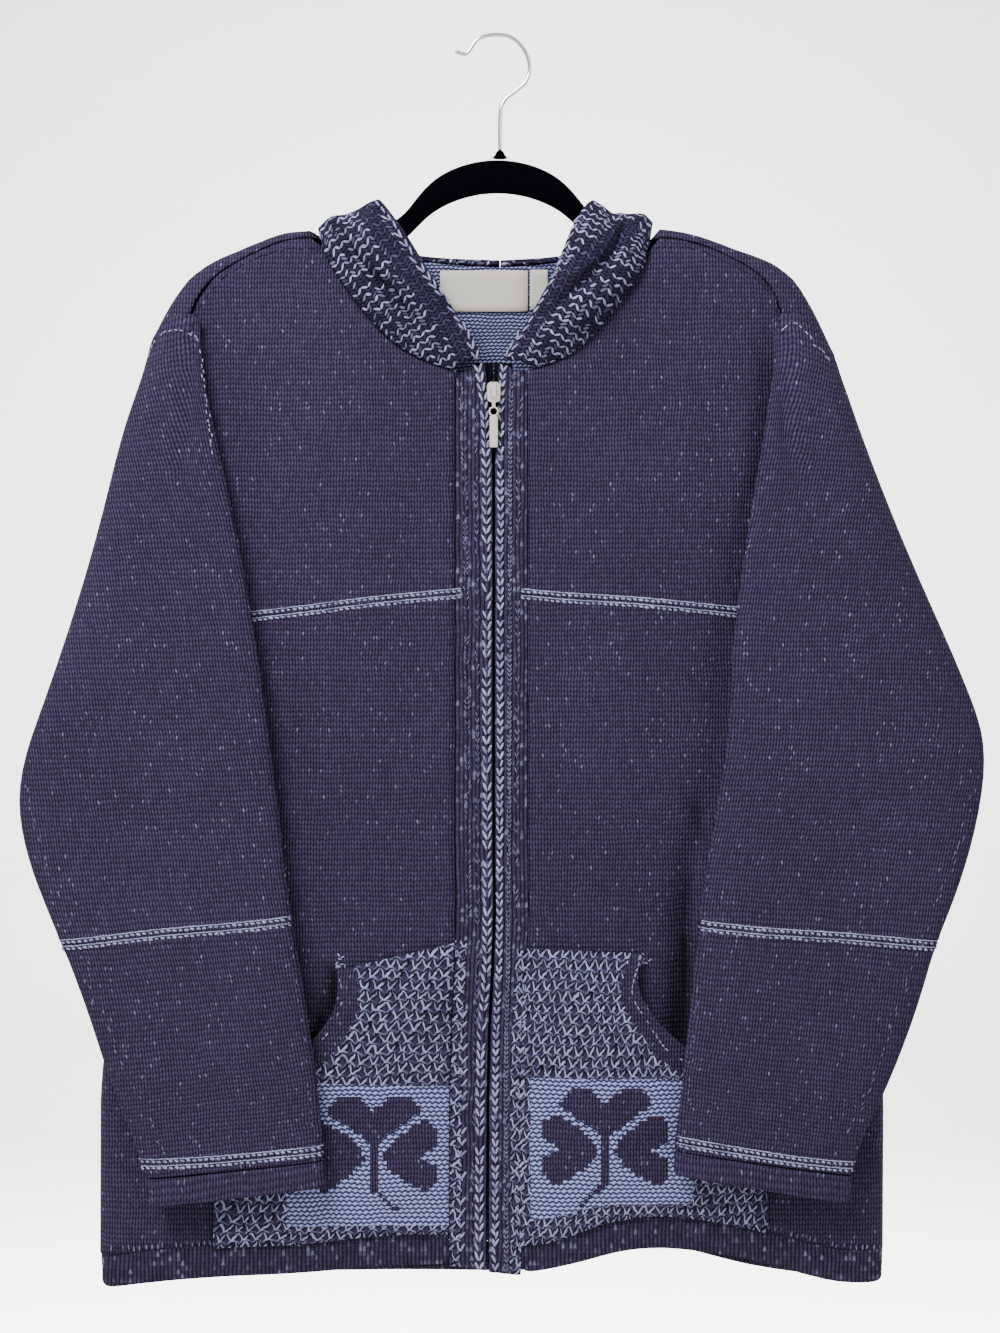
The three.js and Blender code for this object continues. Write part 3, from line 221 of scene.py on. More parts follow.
def face_on(p):
    """Points as they are seen from the front: their x and z."""
    return p[:, [0, 2]]


def close_to(gap, width):
    """1 where gap is 0, fading to nothing at about twice the width."""
    return np.exp(-(gap / width) ** 2)


FOLD_FADE = 0.6     # below 1, a crease keeps its depth nearly to its ends


def soft_fold(p, line, width, depth):
    """Depth of a soft trough or ridge along a line in x and z, fading at its ends."""
    line = np.array(line, float)
    gap, along = nearest(face_on(p), line)
    length = np.linalg.norm(np.diff(line, axis=0), axis=1).sum()
    fade = np.sin(np.clip(along / length, 0, 1) * math.pi) ** FOLD_FADE
    return depth * close_to(gap, width) * fade


# ------------------------------------------------------------------ shaders
class Wire:
    """A value in a material's node tree. Arithmetic on it, with a number on either side, adds Math nodes."""

    def __init__(self, tree, socket):
        self.tree = tree
        self.socket = socket

    def node(self, kind, settings=None, inputs=None, out=0):
        made = self.tree.nodes.new(kind)
        for key, value in (settings or {}).items():
            setattr(made, key, value)
        for key, value in (inputs or {}).items():
            if isinstance(value, Wire):
                self.tree.links.new(value.socket, made.inputs[key])
            else:
                made.inputs[key].default_value = value
        return Wire(self.tree, made.outputs[out])

    def math(self, operation, *others):
        return self.node("ShaderNodeMath", {"operation": operation}, dict(enumerate([self, *others])))

    def __add__(self, other): return self.math("ADD", other)
    def __radd__(self, other): return self.math("ADD", other)
    def __sub__(self, other): return self.math("SUBTRACT", other)
    def __rsub__(self, other): return self * -1 + other
    def __mul__(self, other): return self.math("MULTIPLY", other)
    def __rmul__(self, other): return self.math("MULTIPLY", other)
    def __truediv__(self, other): return self.math("DIVIDE", other)
    def __rtruediv__(self, other): return self.math("POWER", -1) * other
    def __pow__(self, other): return self.math("POWER", other)
    def __abs__(self): return self.math("ABSOLUTE")
    def __gt__(self, other): return self.math("GREATER_THAN", other)
    def __lt__(self, other): return self.math("LESS_THAN", other)
    def frac(self): return self.math("FRACT")
    def floor(self): return self.math("FLOOR")
    def cos(self): return self.math("COSINE")
    def sin(self): return self.math("SINE")
    def least(self, other): return self.math("MINIMUM", other)
    def most(self, other): return self.math("MAXIMUM", other)

    def ripple(self):
        """A wave from 0 to 1, which is at its crest where the value is whole."""
        return (self * TAU).cos() * 0.5 + 0.5

    def redraw(self, times):
        """Another random value from 0 to 1, out of the digits of this one."""
        return (self * times).frac()

    def ramp(self, low, high):
        """0 at low, 1 at high, smoothly between."""
        return self.node("ShaderNodeMapRange", {"interpolation_type": "SMOOTHSTEP"},
                         {"Value": self, "From Min": low, "From Max": high})

    def vector(self, other):
        """This value and another as a vector."""
        return self.node("ShaderNodeCombineXYZ", None, {0: self, 1: other})

    def noise(self, scale, detail=2.0):
        """Noise on a vector, from 0 to 1."""
        return self.node("ShaderNodeTexNoise", None, {"Vector": self, "Scale": scale, "Detail": detail})

    def random(self):
        """A random value from 0 to 1 for each vector."""
        return self.node("ShaderNodeTexWhiteNoise", None, {"Vector": self})

    def mix(self, low, high):
        """A colour from low to high by this factor."""
        return self.node("ShaderNodeMix", {"data_type": "RGBA"}, {0: self, 6: low, 7: high}, out=2)

    def mix_value(self, low, high):
        """A value from low to high by this factor."""
        return self * (high - low) + low

    def tint(self, other):
        """This colour times a factor."""
        return self.node("ShaderNodeVectorMath", {"operation": "SCALE"}, {0: self, "Scale": other})


def colour(r, g, b):
    """A colour from its screen values, 0 to 255."""
    to_light = [c / 255 / 12.92 if c < 10.3 else ((c / 255 + 0.055) / 1.055) ** 2.4 for c in (r, g, b)]
    return (*to_light, 1)


def plain(name, shade, sockets):
    """One colour all over. sockets are the shader's own, such as {"Roughness": 0.4}."""
    made = bpy.data.materials.new(name)
    made.use_nodes = True
    shader = made.node_tree.nodes["Principled BSDF"]
    shader.inputs["Base Color"].default_value = shade
    for key, value in sockets.items():
        shader.inputs[key].default_value = value
    return made


def material(name, paint, relief, roughness=0.95, specular=0.08, metallic=0.0):
    """paint(start) returns the colour and a height from 0 to 1, which stands out by relief millimetres."""
    made = plain(name, (0.5, 0.5, 0.5, 1),
                 {"Roughness": roughness, "Specular IOR Level": specular, "Metallic": metallic})
    tree = made.node_tree
    shader = tree.nodes["Principled BSDF"]
    start = Wire(tree, None)
    shade, height = paint(start)
    tree.links.new(shade.socket, shader.inputs["Base Color"])
    raised = start.node("ShaderNodeBump", None, {"Strength": 1.0, "Distance": relief * MM, "Height": height})
    tree.links.new(raised.socket, shader.inputs["Normal"])
    return made


def charted(start, name="knit"):
    """The two lengths stored by chart(), in millimetres, as two wires."""
    uv = start.node("ShaderNodeUVMap", {"uv_map": name})
    return tuple(start.node("ShaderNodeSeparateXYZ", None, {0: uv}, out=k) for k in (0, 1))


def in_place(start):
    """The place of each point on its own object, in metres."""
    return start.node("ShaderNodeTexCoord", None, None, out=3)


# Yarns, each with a darker copy of its colour, painted as shade in the hollows between the stitches.
NAVY, NAVY_PAINTED_SHADE = colour(46, 39, 62), colour(9, 7, 19)
BLUE, BLUE_PAINTED_SHADE = colour(117, 122, 162), colour(30, 34, 62)
GROUND, GROUND_PAINTED_SHADE = colour(34, 29, 52), colour(7, 6, 16)
PALE = colour(106, 108, 136)
REVERSE, REVERSE_PALE, REVERSE_PAINTED_SHADE = colour(74, 78, 108), colour(108, 113, 150), colour(24, 24, 44)
VELVET_NAP, YARN_FUZZ = 700.0, 900.0      # how fine the velvet's nap and the yarn's fuzz are, for each metre

# ------------------------------------------------------------------ knit patterns
BROAD_SWAY, BROAD_LIFT = 8, 9           # how far knit wanders broadly, across and up, against its fine wandering
SWAY_GRAIN, LIFT_GRAIN = 0.035, 0.03    # how finely that changes, for each millimetre
FINE_GRAIN = 0.3


def uneven(u, v, much=0.5):
    """The two lengths, wandering a little as hand-fed yarn does."""
    drift = u.vector(v)
    other = drift.node("ShaderNodeVectorMath", {"operation": "ADD"}, {0: drift, 1: (50, 90, 0)})
    return (u + (drift.noise(SWAY_GRAIN) - 0.5) * (much * BROAD_SWAY) + (drift.noise(FINE_GRAIN) - 0.5) * much,
            v + (other.noise(LIFT_GRAIN) - 0.5) * (much * BROAD_LIFT))


LEG_CLIMB = 0.6             # rows that each leg of a V climbs from its foot to its top
LEG_ROUND = 2.2             # how square a leg's section is
ROW_DEEP = 0.6              # share of a leg's height that is lost between rows
FLECK_SHAPE = (0.75, 0.4)   # half width of a fleck over its leg, and half its height in rows
FLECKED = (1.02, 0.16)      # a draw above this makes a fleck, less where flecks lie in clumps
CLUMP_GRAIN = 0.02          # how finely the clumps change, for each millimetre


def plain_knit(u, v):
    """Height, a fleck's strength and a shade for plain knit: columns of V stitches, each with two legs."""
    u, v = uneven(u, v)
    beside = abs((u / WALE).frac() - 0.5)
    across = beside * 4 - 1
    up = v / COURSE - beside * LEG_CLIMB
    on_row = up.frac() - 0.5
    leg = (u / WALE * 2).floor().vector(up.floor())
    row = on_row.ripple()
    height = (1 - abs(across) ** LEG_ROUND) * (row * ROW_DEEP + (1 - ROW_DEEP))
    clumps = u.vector(v).noise(CLUMP_GRAIN)
    chance = leg.random()
    wide, tall = FLECK_SHAPE
    spot = (1 - (across / wide) ** 2 - (on_row / tall) ** 2).ramp(0, 0.6)
    rarely, clumped = FLECKED
    fleck = (chance > rarely - clumps * clumped) * spot * (chance.redraw(91.0) ** 2.5 * 0.42 + 0.06)
    shade = chance.redraw(17.0) * 0.34 + 0.83
    return height, fleck, shade


TUCK_SHIFT = 0.5            # each row starts half a swing on from the row below
TUCK_LEAN = 0.26            # how far the crests of a run lean over
OUTER_RUN = (0.31, 0.9)     # how far it swings, in rows, and how faint its crests can be
INNER_RUN = (-0.17, 0.6)
INNER_RAISED = 0.46         # rows between the two runs
INNER_THIN, INNER_DIM = 0.8, 0.62


def tuck_knit(u, v, period, pitch, thick):
    """Pale yarn that swings up and down between rows of navy ovals: its strength, and the height."""
    u, v = uneven(u, v, 1.1)
    place = u.vector(v)
    thin = (place.noise(0.5) - 0.5) * 1.1 + 1.0
    turned = u / period + (place.noise(0.09) - 0.5) * 0.5

    def run(v, thick, swing, faint):
        """One run of the yarn in each row: how pale it is, and how far from its middle."""
        swing = swing * pitch
        row = (v / pitch).floor()
        turn = (turned + row * TUCK_SHIFT) * TAU
        wave = (turn.cos() + (turn * 2).sin() * TUCK_LEAN) * swing
        slope = ((turn * 2).cos() * (TUCK_LEAN * 2) - turn.sin()) * (TAU * swing / period)
        away = abs(v - (row + 0.5) * pitch - wave) / (slope ** 2 + 1) ** 0.5
        leg = (turn / math.pi).floor().vector(row).random()
        strength = (leg * 0.5 + 0.5) * (1 - turn.cos().ramp(0.1, 0.9) * leg.redraw(7.0) * faint)
        return (1 - away / (thin * thick)).ramp(0, 0.55) * strength, away

    pale, away = run(v, thick, *OUTER_RUN)
    inner, _ = run(v + pitch * INNER_RAISED, thick * INNER_THIN, *INNER_RUN)
    stray = (place.noise(0.8) - 0.62).most(0) * 1.6
    pale = pale.most(inner * INNER_DIM).most(stray).least(1.0)
    oval = away.ramp(thick * 0.8, thick * 2.2) * (place.noise(1.3) * 0.5 + 0.35)
    return pale, pale.most(oval)


LEG_LEAN = 0.95             # rows that a leg in the hood leans over its own width
LEG_SHAPE = (0.54, 0.42)    # half width of a leg in columns, and half its height in rows


def tick_knit(u, v, wide, tall):
    """Leaning legs of two-coloured yarn, row by row: how pale each is, and the height."""
    u, v = uneven(u, v, 0.9)
    column = u / wide
    hand = (column * 0.5).frac() > 0.5
    across = column.frac() - 0.5
    up = v / tall + (hand * 2 - 1) * across * LEG_LEAN
    row = up.floor()
    leg = column.floor().vector(row).random()
    half_wide, half_tall = LEG_SHAPE
    body = 1 - (across / half_wide) ** 2 - ((up.frac() - 0.5) / half_tall) ** 2
    odd = (row * 0.5).frac() > 0.25
    strength = odd.mix_value((leg - 0.55).most(0) * 1.1, (leg * 0.75 + 0.3) * (leg > 0.13))
    return body.ramp(0, 0.45) * strength, body.ramp(-0.7, 0.5) * (strength * 0.4 + 0.4)


def purl_rows(u, v):
    """Height of reversed knit: wavy rows of purl bumps."""
    u, v = uneven(u, v, 0.6)
    row = (v / PURL_TALL).floor()
    wave = (u * (TAU / WALE) + row * 2.2).sin() * 0.17
    return (v / PURL_TALL + wave).ripple()


def navy_shade(u, v):
    """Plain navy knit with pale flecks: its colour and height."""
    height, fleck, shade = plain_knit(u, v)
    wide = u.vector(v).noise(0.008) * 0.3 + 0.85
    # Painted shade: the knit is darker where its height is low, between the stitches.
    base = height.ramp(0.0, 0.8).mix(NAVY_PAINTED_SHADE, NAVY).tint(shade * wide)
    return fleck.mix(base, PALE), height


def two_coloured(pale, height):
    """Pale yarn on a dark ground, with painted shade between its stitches: the colour, and the height as it is.
    """
    # Painted shade: the ground is darker where its height is low.
    ground = height.ramp(0.1, 0.7).mix(GROUND_PAINTED_SHADE, GROUND)
    return pale.ramp(0.12, 0.95).mix(ground, PALE), height


def tuck_shade(u, v, side):
    """The pocket's pattern of pale yarn: its colour and height."""
    return two_coloured(*tuck_knit(u, v, *POCKET_TUCK[side]))


def paint_navy(start):
    """Plain knit all over."""
    return navy_shade(*charted(start))


def paint_front(start):
    """Plain knit, darkened with painted shade in the deep gap beside the sleeve and in the pocket's mouth."""
    shade, height = navy_shade(*charted(start))
    # The painted shade, read from the front's chart: the knit's colour is multiplied by it.
    light, _ = charted(start, "deep")
    return shade.tint(light), height


def choose(mask, look, other):
    """A colour and height that are the other's where mask is 1."""
    return mask.mix(look[0], other[0]), mask * other[1] + (1 - mask) * look[1]


def inside_box(u, v, low_u, high_u, low_v, high_v):
    """1 between these lengths both ways."""
    return (u > low_u) * (u < high_u) * (v > low_v) * (v < high_v)


HEART_WIDEST = 0.74     # where a leaf is widest, as a share of its length
HEART_CORNER = 0.14     # how much of its lobes' corners is cut off, as a share of its width
CLEFT_HALF = 0.15       # half width of its cleft, as a share of its width


def heart(u, v, tip, heading, length, width, notch, swell):
    """1 inside a heart-shaped leaf whose tip is at tip and which opens towards heading, in degrees.
    Its sides are straight where swell is 1 and round out where it is less."""
    c, s = math.cos(math.radians(heading)), math.sin(math.radians(heading))
    along = (u - tip[0]) * c + (v - tip[1]) * s
    aside = abs((v - tip[1]) * c - (u - tip[0]) * s)
    widest = length * HEART_WIDEST
    corner = width * HEART_CORNER
    sides = aside < (along.most(0) / widest) ** swell * (width / 2)
    lobes = (along + (aside - (width / 2 - corner)).most(0) * 1.1 < length) * (aside < width / 2)
    cleft = along < length - notch + aside * (notch / (width * CLEFT_HALF))
    return sides * lobes * cleft


# Blue panel on each pocket: its two sides in x, the height and slope of its foot and top, the place where its
# three leaves meet, and the way that their stem bends at the foot.
PANEL = {
    "left": {"x": (-158, -33.5), "foot": (-885.5, 0.0), "top": (-783, -0.03), "leaf": (-93.5, -825), "bend": 1},
    "right": {"x": (22.5, 142), "foot": (-887, 0.24), "top": (-775.5, 0.0), "leaf": (78, -819), "bend": -1},
}
FOOT_LEVEL = -868       # the panel's foot is never above this

# The leaves of the clover: each one's length, width, notch and swell, and where the lower ones' tips lie.
UPPER_LEAF = (35.5, 73, 9, 1.0)
LOWER_LEAF = (40, 53, 13, 0.6)
LOWER_TIP = (7, -8.5)
STEM = {"half": 2.2, "top": 3, "foot": -50, "bends_at": -33, "slope": 1.1}


def clover(u, v, x, z, bend):
    """1 inside a three-leaved clover charted on the stitches, with a stem that bends at its foot."""
    wide, tall = LEAF_STITCH
    u = ((u / wide).floor() + 0.5) * wide
    v = ((v / tall).floor() + 0.5) * tall
    leaves = heart(u, v, (x, z), 90, *UPPER_LEAF)
    for way in (-1, 1):
        tip = (x + LOWER_TIP[0] * way, z + LOWER_TIP[1])
        leaves = leaves.most(heart(u, v, tip, 90 - 90 * way, *LOWER_LEAF))
    drop = (z + STEM["bends_at"] - v).most(0)
    stem = abs(u - x - drop * (STEM["slope"] * bend)) < STEM["half"]
    return leaves.most(stem * (v < z + STEM["top"]) * (v > z + STEM["foot"]))


# Period, pitch of the rows and thickness of the pale yarn in the pocket's pattern.
POCKET_TUCK = {"left": (9.0, 7.8, 1.2), "right": (7.8, 7.9, 1.15)}
# How wide the plain knit is along each hand opening.
FACING = {"left": 14.0, "right": 10.0}


def paint_pocket(side):
    """The pocket's pattern, with its blue panel, the clover on it and plain knit along the hand opening."""
    def paint(start):
        u, v = charted(start)
        edge, _ = charted(start, "edge")
        panel = PANEL[side]
        ragged = (u.vector(v).noise(0.25) - 0.5) * 3
        foot = (abs(u) * panel["foot"][1] + panel["foot"][0]).least(FOOT_LEVEL)
        top = u * panel["top"][1] + panel["top"][0]
        low_u, high_u = panel["x"]
        blue_place = inside_box(u + ragged, v + ragged, low_u, high_u, foot, top)
        rows = purl_rows(u, v)
        # Painted shade: the blue is darker where it sinks between its rows of purl bumps.
        blue = (rows.ramp(0.15, 0.75).mix(BLUE_PAINTED_SHADE, BLUE), rows)
        leaf = clover(u, v, *panel["leaf"], panel["bend"]) * blue_place
        facing = edge + ragged < FACING[side]
        look = choose(blue_place, tuck_shade(u, v, side), blue)
        return choose(leaf.most(facing), look, navy_shade(u, v))
    return paint


def paint_inside(start):
    """The reverse of the knit: wavy rows of light blue, painted darker as shade between the rows, with a paler
    column down the middle.
    """
    u, v = charted(start)
    rows = purl_rows(u * 1.25, v * 1.25)
    patch = u.vector(v).noise(0.02).ramp(0.35, 0.65)
    column = (1 - abs(u + 1) / 3).ramp(0, 1) * 0.6
    light = patch.most(column).mix(REVERSE, REVERSE_PALE)
    # Painted shade: darker where the rows sink.
    return rows.ramp(0.1, 0.8).mix(REVERSE_PAINTED_SHADE, light), rows


# Where each zip band turns to the pocket's pattern: its edge in x, its top, and the side of the edge it is on.
BAND_TUCK = {"left": (-24.5, -674, 1), "right": (12.0, -682, -1)}


def ribbed(u, v):
    """Bands knitted lengthwise: narrow columns of stitches."""
    u, v = uneven(u, v, 0.4)
    wide, tall = RIB_STITCH
    beside = abs((u / wide).frac() - 0.5)
    up = v / tall + beside * 0.9
    stitch = (up * TAU).sin() * 0.5 + 0.5
    height = (1 - (beside * 2) ** 2) * (stitch * 0.45 + 0.55)
    chance = (u / wide).floor().vector(up.floor()).random()
    fleck = (chance > 0.86) * height * (chance.redraw(91.0) ** 2 * 0.6 + 0.1)
    # Painted shade: darker where the knit sinks between its stitches.
    base = height.ramp(0.0, 0.8).mix(NAVY_PAINTED_SHADE, NAVY).tint(chance.redraw(17.0) * 0.4 + 0.6)
    return fleck.mix(base, PALE), height


def paint_band(side):
    """The zip bands: lengthwise knit, and beside the pocket its outer part is in the pocket's pattern."""
    def paint(start):
        u, v = charted(start)
        edge, top, way = BAND_TUCK[side]
        ragged = (u.vector(v).noise(0.12) - 0.5) * 5
        outer = (u + ragged < edge) if way > 0 else (u + ragged > edge)
        return choose(outer * (v + ragged < top), ribbed(u, v), tuck_shade(u, v, side))
    return paint


def paint_yarn(low, high):
    """Fuzzy yarn, mottled between two colours."""
    def paint(start):
        place = in_place(start)
        fine = place.noise(YARN_FUZZ)
        broad = place.noise(YARN_FUZZ / 10)
        return (fine * 0.45 + broad * 0.55).ramp(0.25, 0.72).mix(colour(*low), colour(*high)), fine
    return paint


# The strip of plain knit on each half of the hood: its middle line, its half width, and its width along the
# face edge, which it reaches on the left alone.
HOOD_STRIP = {
    "left": [(-99, -134), (-85, -155), (-66, -182), (-48, -206), (-34, -226), (-24, -246)],
    "right": [(95, -145), (66, -169), (48, -187), (26, -213), (12, -232)],
}
STRIP_HALF = {"left": 6.5, "right": 8.0}
STRIP_EDGE = {"left": 11.0, "right": 0.0}
STRIP_DIM = 0.72        # how much of the pale yarn is missing there


def paint_hood(side):
    """The two-colour tuck pattern, worked along the face edge, with a strip of plain knit."""
    def paint(start):
        u, v = charted(start)
        gap, depth = charted(start, "strip")
        ragged = (u.vector(v).noise(0.2) - 0.5) * 5
        strip = (gap + ragged < STRIP_HALF[side]).most(u + ragged < STRIP_EDGE[side]) * (depth < 2)
        pale, height = tick_knit(u, v, *HOOD_STITCH)
        return two_coloured(pale * (1 - strip * STRIP_DIM), height)
    return paint


def paint_hem(start):
    """The hem: knit drawn in close, darker than the body."""
    u, v = charted(start)
    shade, height = ribbed(u, v)
    return shade.tint(0.9), height


def paint_label(start):
    """Bare woven satin."""
    u, v = charted(start)
    thread = (v * 14).sin() * 0.25 + (u * 20).sin() * 0.25 + 0.5
    return thread.mix(colour(136, 133, 125), colour(156, 153, 145)), thread


def paint_velvet(start):
    """Black flocking."""
    fluff = in_place(start).noise(VELVET_NAP)
    return fluff.mix(colour(1, 1, 2), colour(4, 4, 6)), fluff


def paint_tape(start):
    """Twilled tape."""
    u, v = charted(start)
    weave = ((u + v) * 5).sin() * 0.5 + 0.5
    return weave.mix(colour(2, 2, 5), colour(9, 9, 14)), weave


def paint_metal(low, high, brushed):
    """Metal with a fine grain."""
    def paint(start):
        grain = in_place(start).noise(brushed, 3.0)
        return grain.mix(low, high), grain
    return paint


def metal(name, low, high, roughness, brushed, relief):
    """Metal that varies from low to high, with a grain as fine as brushed, for each metre."""
    return material(name, paint_metal(low, high, brushed), relief, roughness, specular=0.5, metallic=1.0)


navy = material("navy tweed knit", paint_navy, 1.1)
hem_knit = material("hem knit", paint_hem, 1.1)
inside = material("reverse of the knit", paint_inside, 1.2)
yarn = material("pale blue yarn", paint_yarn((62, 63, 88), (122, 124, 150)), 0.25)
dim_yarn = material("navy and pale mixed yarn", paint_yarn((40, 37, 60), (86, 85, 110)), 0.25)
# Dark yarn for the shoulder seams, which paints the shadow of their grooves.
seam_shadow_yarn = material("dark navy yarn painted as seam shadow", paint_yarn((8, 6, 20), (26, 22, 46)), 0.2)
label_cloth = material("cream label weave", paint_label, 0.1, roughness=0.8)
velvet = material("black velvet flocking", paint_velvet, 0.15, roughness=1.0, specular=0.0)
black_tape = material("black zip tape", paint_tape, 0.15, specular=0.03)
chrome = metal("polished steel wire", (0.42, 0.42, 0.44, 1), (0.62, 0.62, 0.64, 1), 0.14, 60.0, 0.01)
nickel = metal("satin nickel", (0.60, 0.56, 0.49, 1), (0.74, 0.71, 0.64, 1), 0.32, 400.0, 0.02)


# ------------------------------------------------------------------ cloth pieces
def cloth(name, node, surface, levels=2, crease=0.9, shape=None, knit=None):
    """A node's cloth: its form made smooth, shaped as given, and charted for the knit."""
    obj = softened(name, node, levels, crease)
    cut = points_of(obj)
    shaped = shape(cut) if shape else cut
    u, v = knit(cut) if knit else (shaped[:, 0], shaped[:, 2])
    chart(obj, "knit", u, v)
    move(obj, shaped)
    obj.data.materials.append(surface)
    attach(obj, BODY)
    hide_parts(node)
    return obj


INWARD = -0.3       # a face is inside where it faces at least this far away from outward


def line_the_inside(obj, surface, outward, but=None):
    """Gives the faces that look away from outward, in y, another surface, but not where but(x, z) is true."""
    obj.data.materials.append(surface)
    for face in obj.data.polygons:
        x, _, z = face.center / MM
        if face.normal.y * outward < INWARD and not (but and but(x, z)):
            face.material_index = 1


def as_cut(p):
    """A chart that keeps to the cloth as it was cut."""
    return p[:, 0], p[:, 2]


def sleeve_knit(side):
    """The sleeve's chart: across from the fold, and along the rows, which tilt more towards the cuff."""
    def knit(p):
        fold = table(FOLD[side], p[:, 2])
        tilt = -OUT[side] * (0.02 + 0.11 * smooth(-540, -860, p[:, 2]))
        return p[:, 0] - fold, p[:, 2] - tilt * (p[:, 0] - fold)
    return knit


# The hand opening's edge on each pocket, from its foot to its top.
HAND_EDGE = {
    "left": [(-209, -818), (-190, -790), (-160, -768), (-137, -750), (-124, -733), (-119, -716),
             (-121.5, -699)],
    "right": [(196, -818), (178, -792), (150, -770), (124, -752), (111, -733), (100, -712), (106, -687)],
}

# The foot of each pocket.
POCKET_FOOT = {
    "left": [(-209, -903), (-144, -901), (-80, -897), (-36, -897)],
    "right": [(24, -897), (69, -890), (100, -881), (161, -888), (205, -898)],
}

# Soft creases: the line of each in x and z, its width, and how far it stands out (or, below 0, in).
FRONT_FOLDS = {
    "left": [
        ([(-182, -262), (-172, -330), (-176, -420)], 16, -2.4),
        ([(-120, -300), (-108, -430), (-112, -600)], 24, 1.6),
        ([(-66, -280), (-58, -420), (-62, -640)], 20, -1.4),
        ([(-150, -470), (-132, -600), (-128, -690)], 18, -1.8),
        ([(-46, -650), (-44, -560), (-50, -460)], 14, 1.0),
        ([(-218, -186), (-216, -222), (-214, -262), (-206, -318)], 4, -2.6),
        ([(-200, -330), (-184, -410), (-172, -500), (-160, -590), (-146, -670)], 12, -4.5),
        ([(-190, -794), (-163, -770), (-140, -753), (-128, -734), (-123, -716), (-124, -700)], 5, -5.0),
    ],
    "right": [
        ([(170, -262), (160, -330), (162, -410)], 16, -2.4),
        ([(100, -290), (92, -430), (98, -600)], 24, 1.6),
        ([(44, -300), (48, -440), (44, -640)], 18, -1.4),
        ([(136, -470), (122, -590), (120, -690)], 18, -1.8),
        ([(70, -640), (66, -540), (74, -440)], 14, 0.9),
        ([(197, -186), (198, -222), (197, -262), (190, -318)], 4, -2.6),
        ([(186, -330), (174, -410), (166, -500), (154, -590), (142, -670)], 12, -4.5),
        ([(208, -232), (203, -262), (198, -292), (188, -350), (178, -420)], 8, -5.0),
        ([(147, -560), (140, -620), (134.5, -690), (131, -770), (127, -850)], 7, -13.0),
        ([(196, -818), (180, -792), (153, -768), (128, -750), (115, -731), (104, -712)], 5, -3.0),
    ],
}
SLEEVE_FOLDS = {
    "left": [
        ([(-318, -560), (-280, -584), (-226, -600)], 15, -3.0),
        ([(-326, -606), (-290, -616), (-240, -640)], 12, -2.2),
        ([(-250, -300), (-262, -400), (-270, -500)], 22, 1.6),
        ([(-214, -300), (-206, -420), (-196, -560)], 16, -1.6),
        ([(-268, -690), (-236, -760), (-214, -840)], 16, -1.5),
        ([(-196, -660), (-182, -740), (-176, -830)], 16, 1.3),
        ([(-338, -520), (-300, -500), (-262, -440)], 12, 1.2),
    ],
    "right": [
        ([(322, -548), (284, -572), (232, -590)], 15, -3.0),
        ([(322, -594), (286, -606), (236, -628)], 12, -2.2),
        ([(250, -300), (262, -400), (272, -490)], 22, 1.6),
        ([(210, -300), (202, -420), (190, -560)], 16, -1.6),
        ([(262, -690), (232, -760), (212, -836)], 16, -1.5),
        ([(190, -660), (178, -740), (170, -826)], 16, 1.3),
        ([(336, -500), (300, -486), (262, -430)], 12, 1.2),
    ],
}
BACK_FOLDS = [
    ([(-150, -270), (-120, -400), (-130, -560)], 26, -2.2),
    ([(140, -270), (112, -420), (124, -600)], 26, -2.2),
    ([(-60, -480), (-40, -640), (-56, -820)], 30, 1.8),
    ([(70, -460), (52, -620), (66, -800)], 30, 1.8),
    ([(-200, -560), (-184, -700), (-190, -860)], 20, -1.6),
    ([(196, -560), (180, -700), (186, -860)], 20, -1.6),
    ([(-4, -500), (6, -660), (-2, -820)], 22, -1.4),
]
HOOD_FOLDS = {
    "left": [
        ([(-130, -141), (-103, -172.9), (-78, -198), (-51, -229)], 4, -10.0),
        ([(-139, -150), (-115, -181), (-91, -206), (-64, -234)], 9, 3.2),
        ([(-110, -138), (-88, -164), (-62, -196), (-40, -222)], 8, 2.4),
    ],
    "right": [
        ([(98, -138), (82, -168), (62, -187), (36, -212)], 4.5, -7.5),
        ([(116, -150), (94, -182), (72, -203), (44, -228)], 10, 3.2),
        ([(78, -132), (62, -156), (44, -182), (22, -208)], 8, 2.0),
    ],
}
# Rolls in the hood's top edge: the place in x of each, its half width, and its rise.
HOOD_ROLLS = {"left": [(-126, 8, 4.0), (-97, 7, 1.6)], "right": [(84, 5, -3.2), (107, 10, 6.0)]}

# Painted shade on each front, where it lies deep in the gap beside the sleeve and in the pocket's mouth: lines,
# half widths and how dark.
PAINTED_FRONT_SHADE = {
    "left": [
        ([(-194, -797), (-167, -772), (-144, -756), (-131, -736), (-126, -716), (-126, -702)], 6, 0.8),
    ],
    "right": [
        ([(207, -236), (203, -262), (198, -292), (190, -335)], 3.6, 0.6),
        ([(190, -335), (183, -380), (174, -440)], 2.6, 0.4),
        ([(145, -570), (141, -620), (137, -670)], 3.2, 0.55),
        ([(136.5, -680), (135, -710), (131.5, -770), (129, -800)], 6.5, 0.92),
    ],
}

# The neck seam of each front and how far the cloth is tucked under the hood there, and the shoulder seam.
NECK_SEAM = {
    "left": [(-34, -253, 1.5), (-51, -250.5, 2), (-75, -237.5, 2), (-100, -214, 3), (-122, -184, 6),
             (-134, -168, 9), (-141, -159, 5)],
    "right": [(21, -252, 1.5), (34, -250, 2), (57, -239.5, 2), (80, -216, 3), (100, -189, 4),
              (110, -173, 6), (118, -159, 4)],
}
SHOULDER_SEAM = {
    "left": [(-141, -159), (-170, -162.5), (-203, -179), (-221, -199.5), (-229, -222)],
    "right": [(118, -159), (145, -160), (180, -175.5), (200, -193), (209, -223)],
}
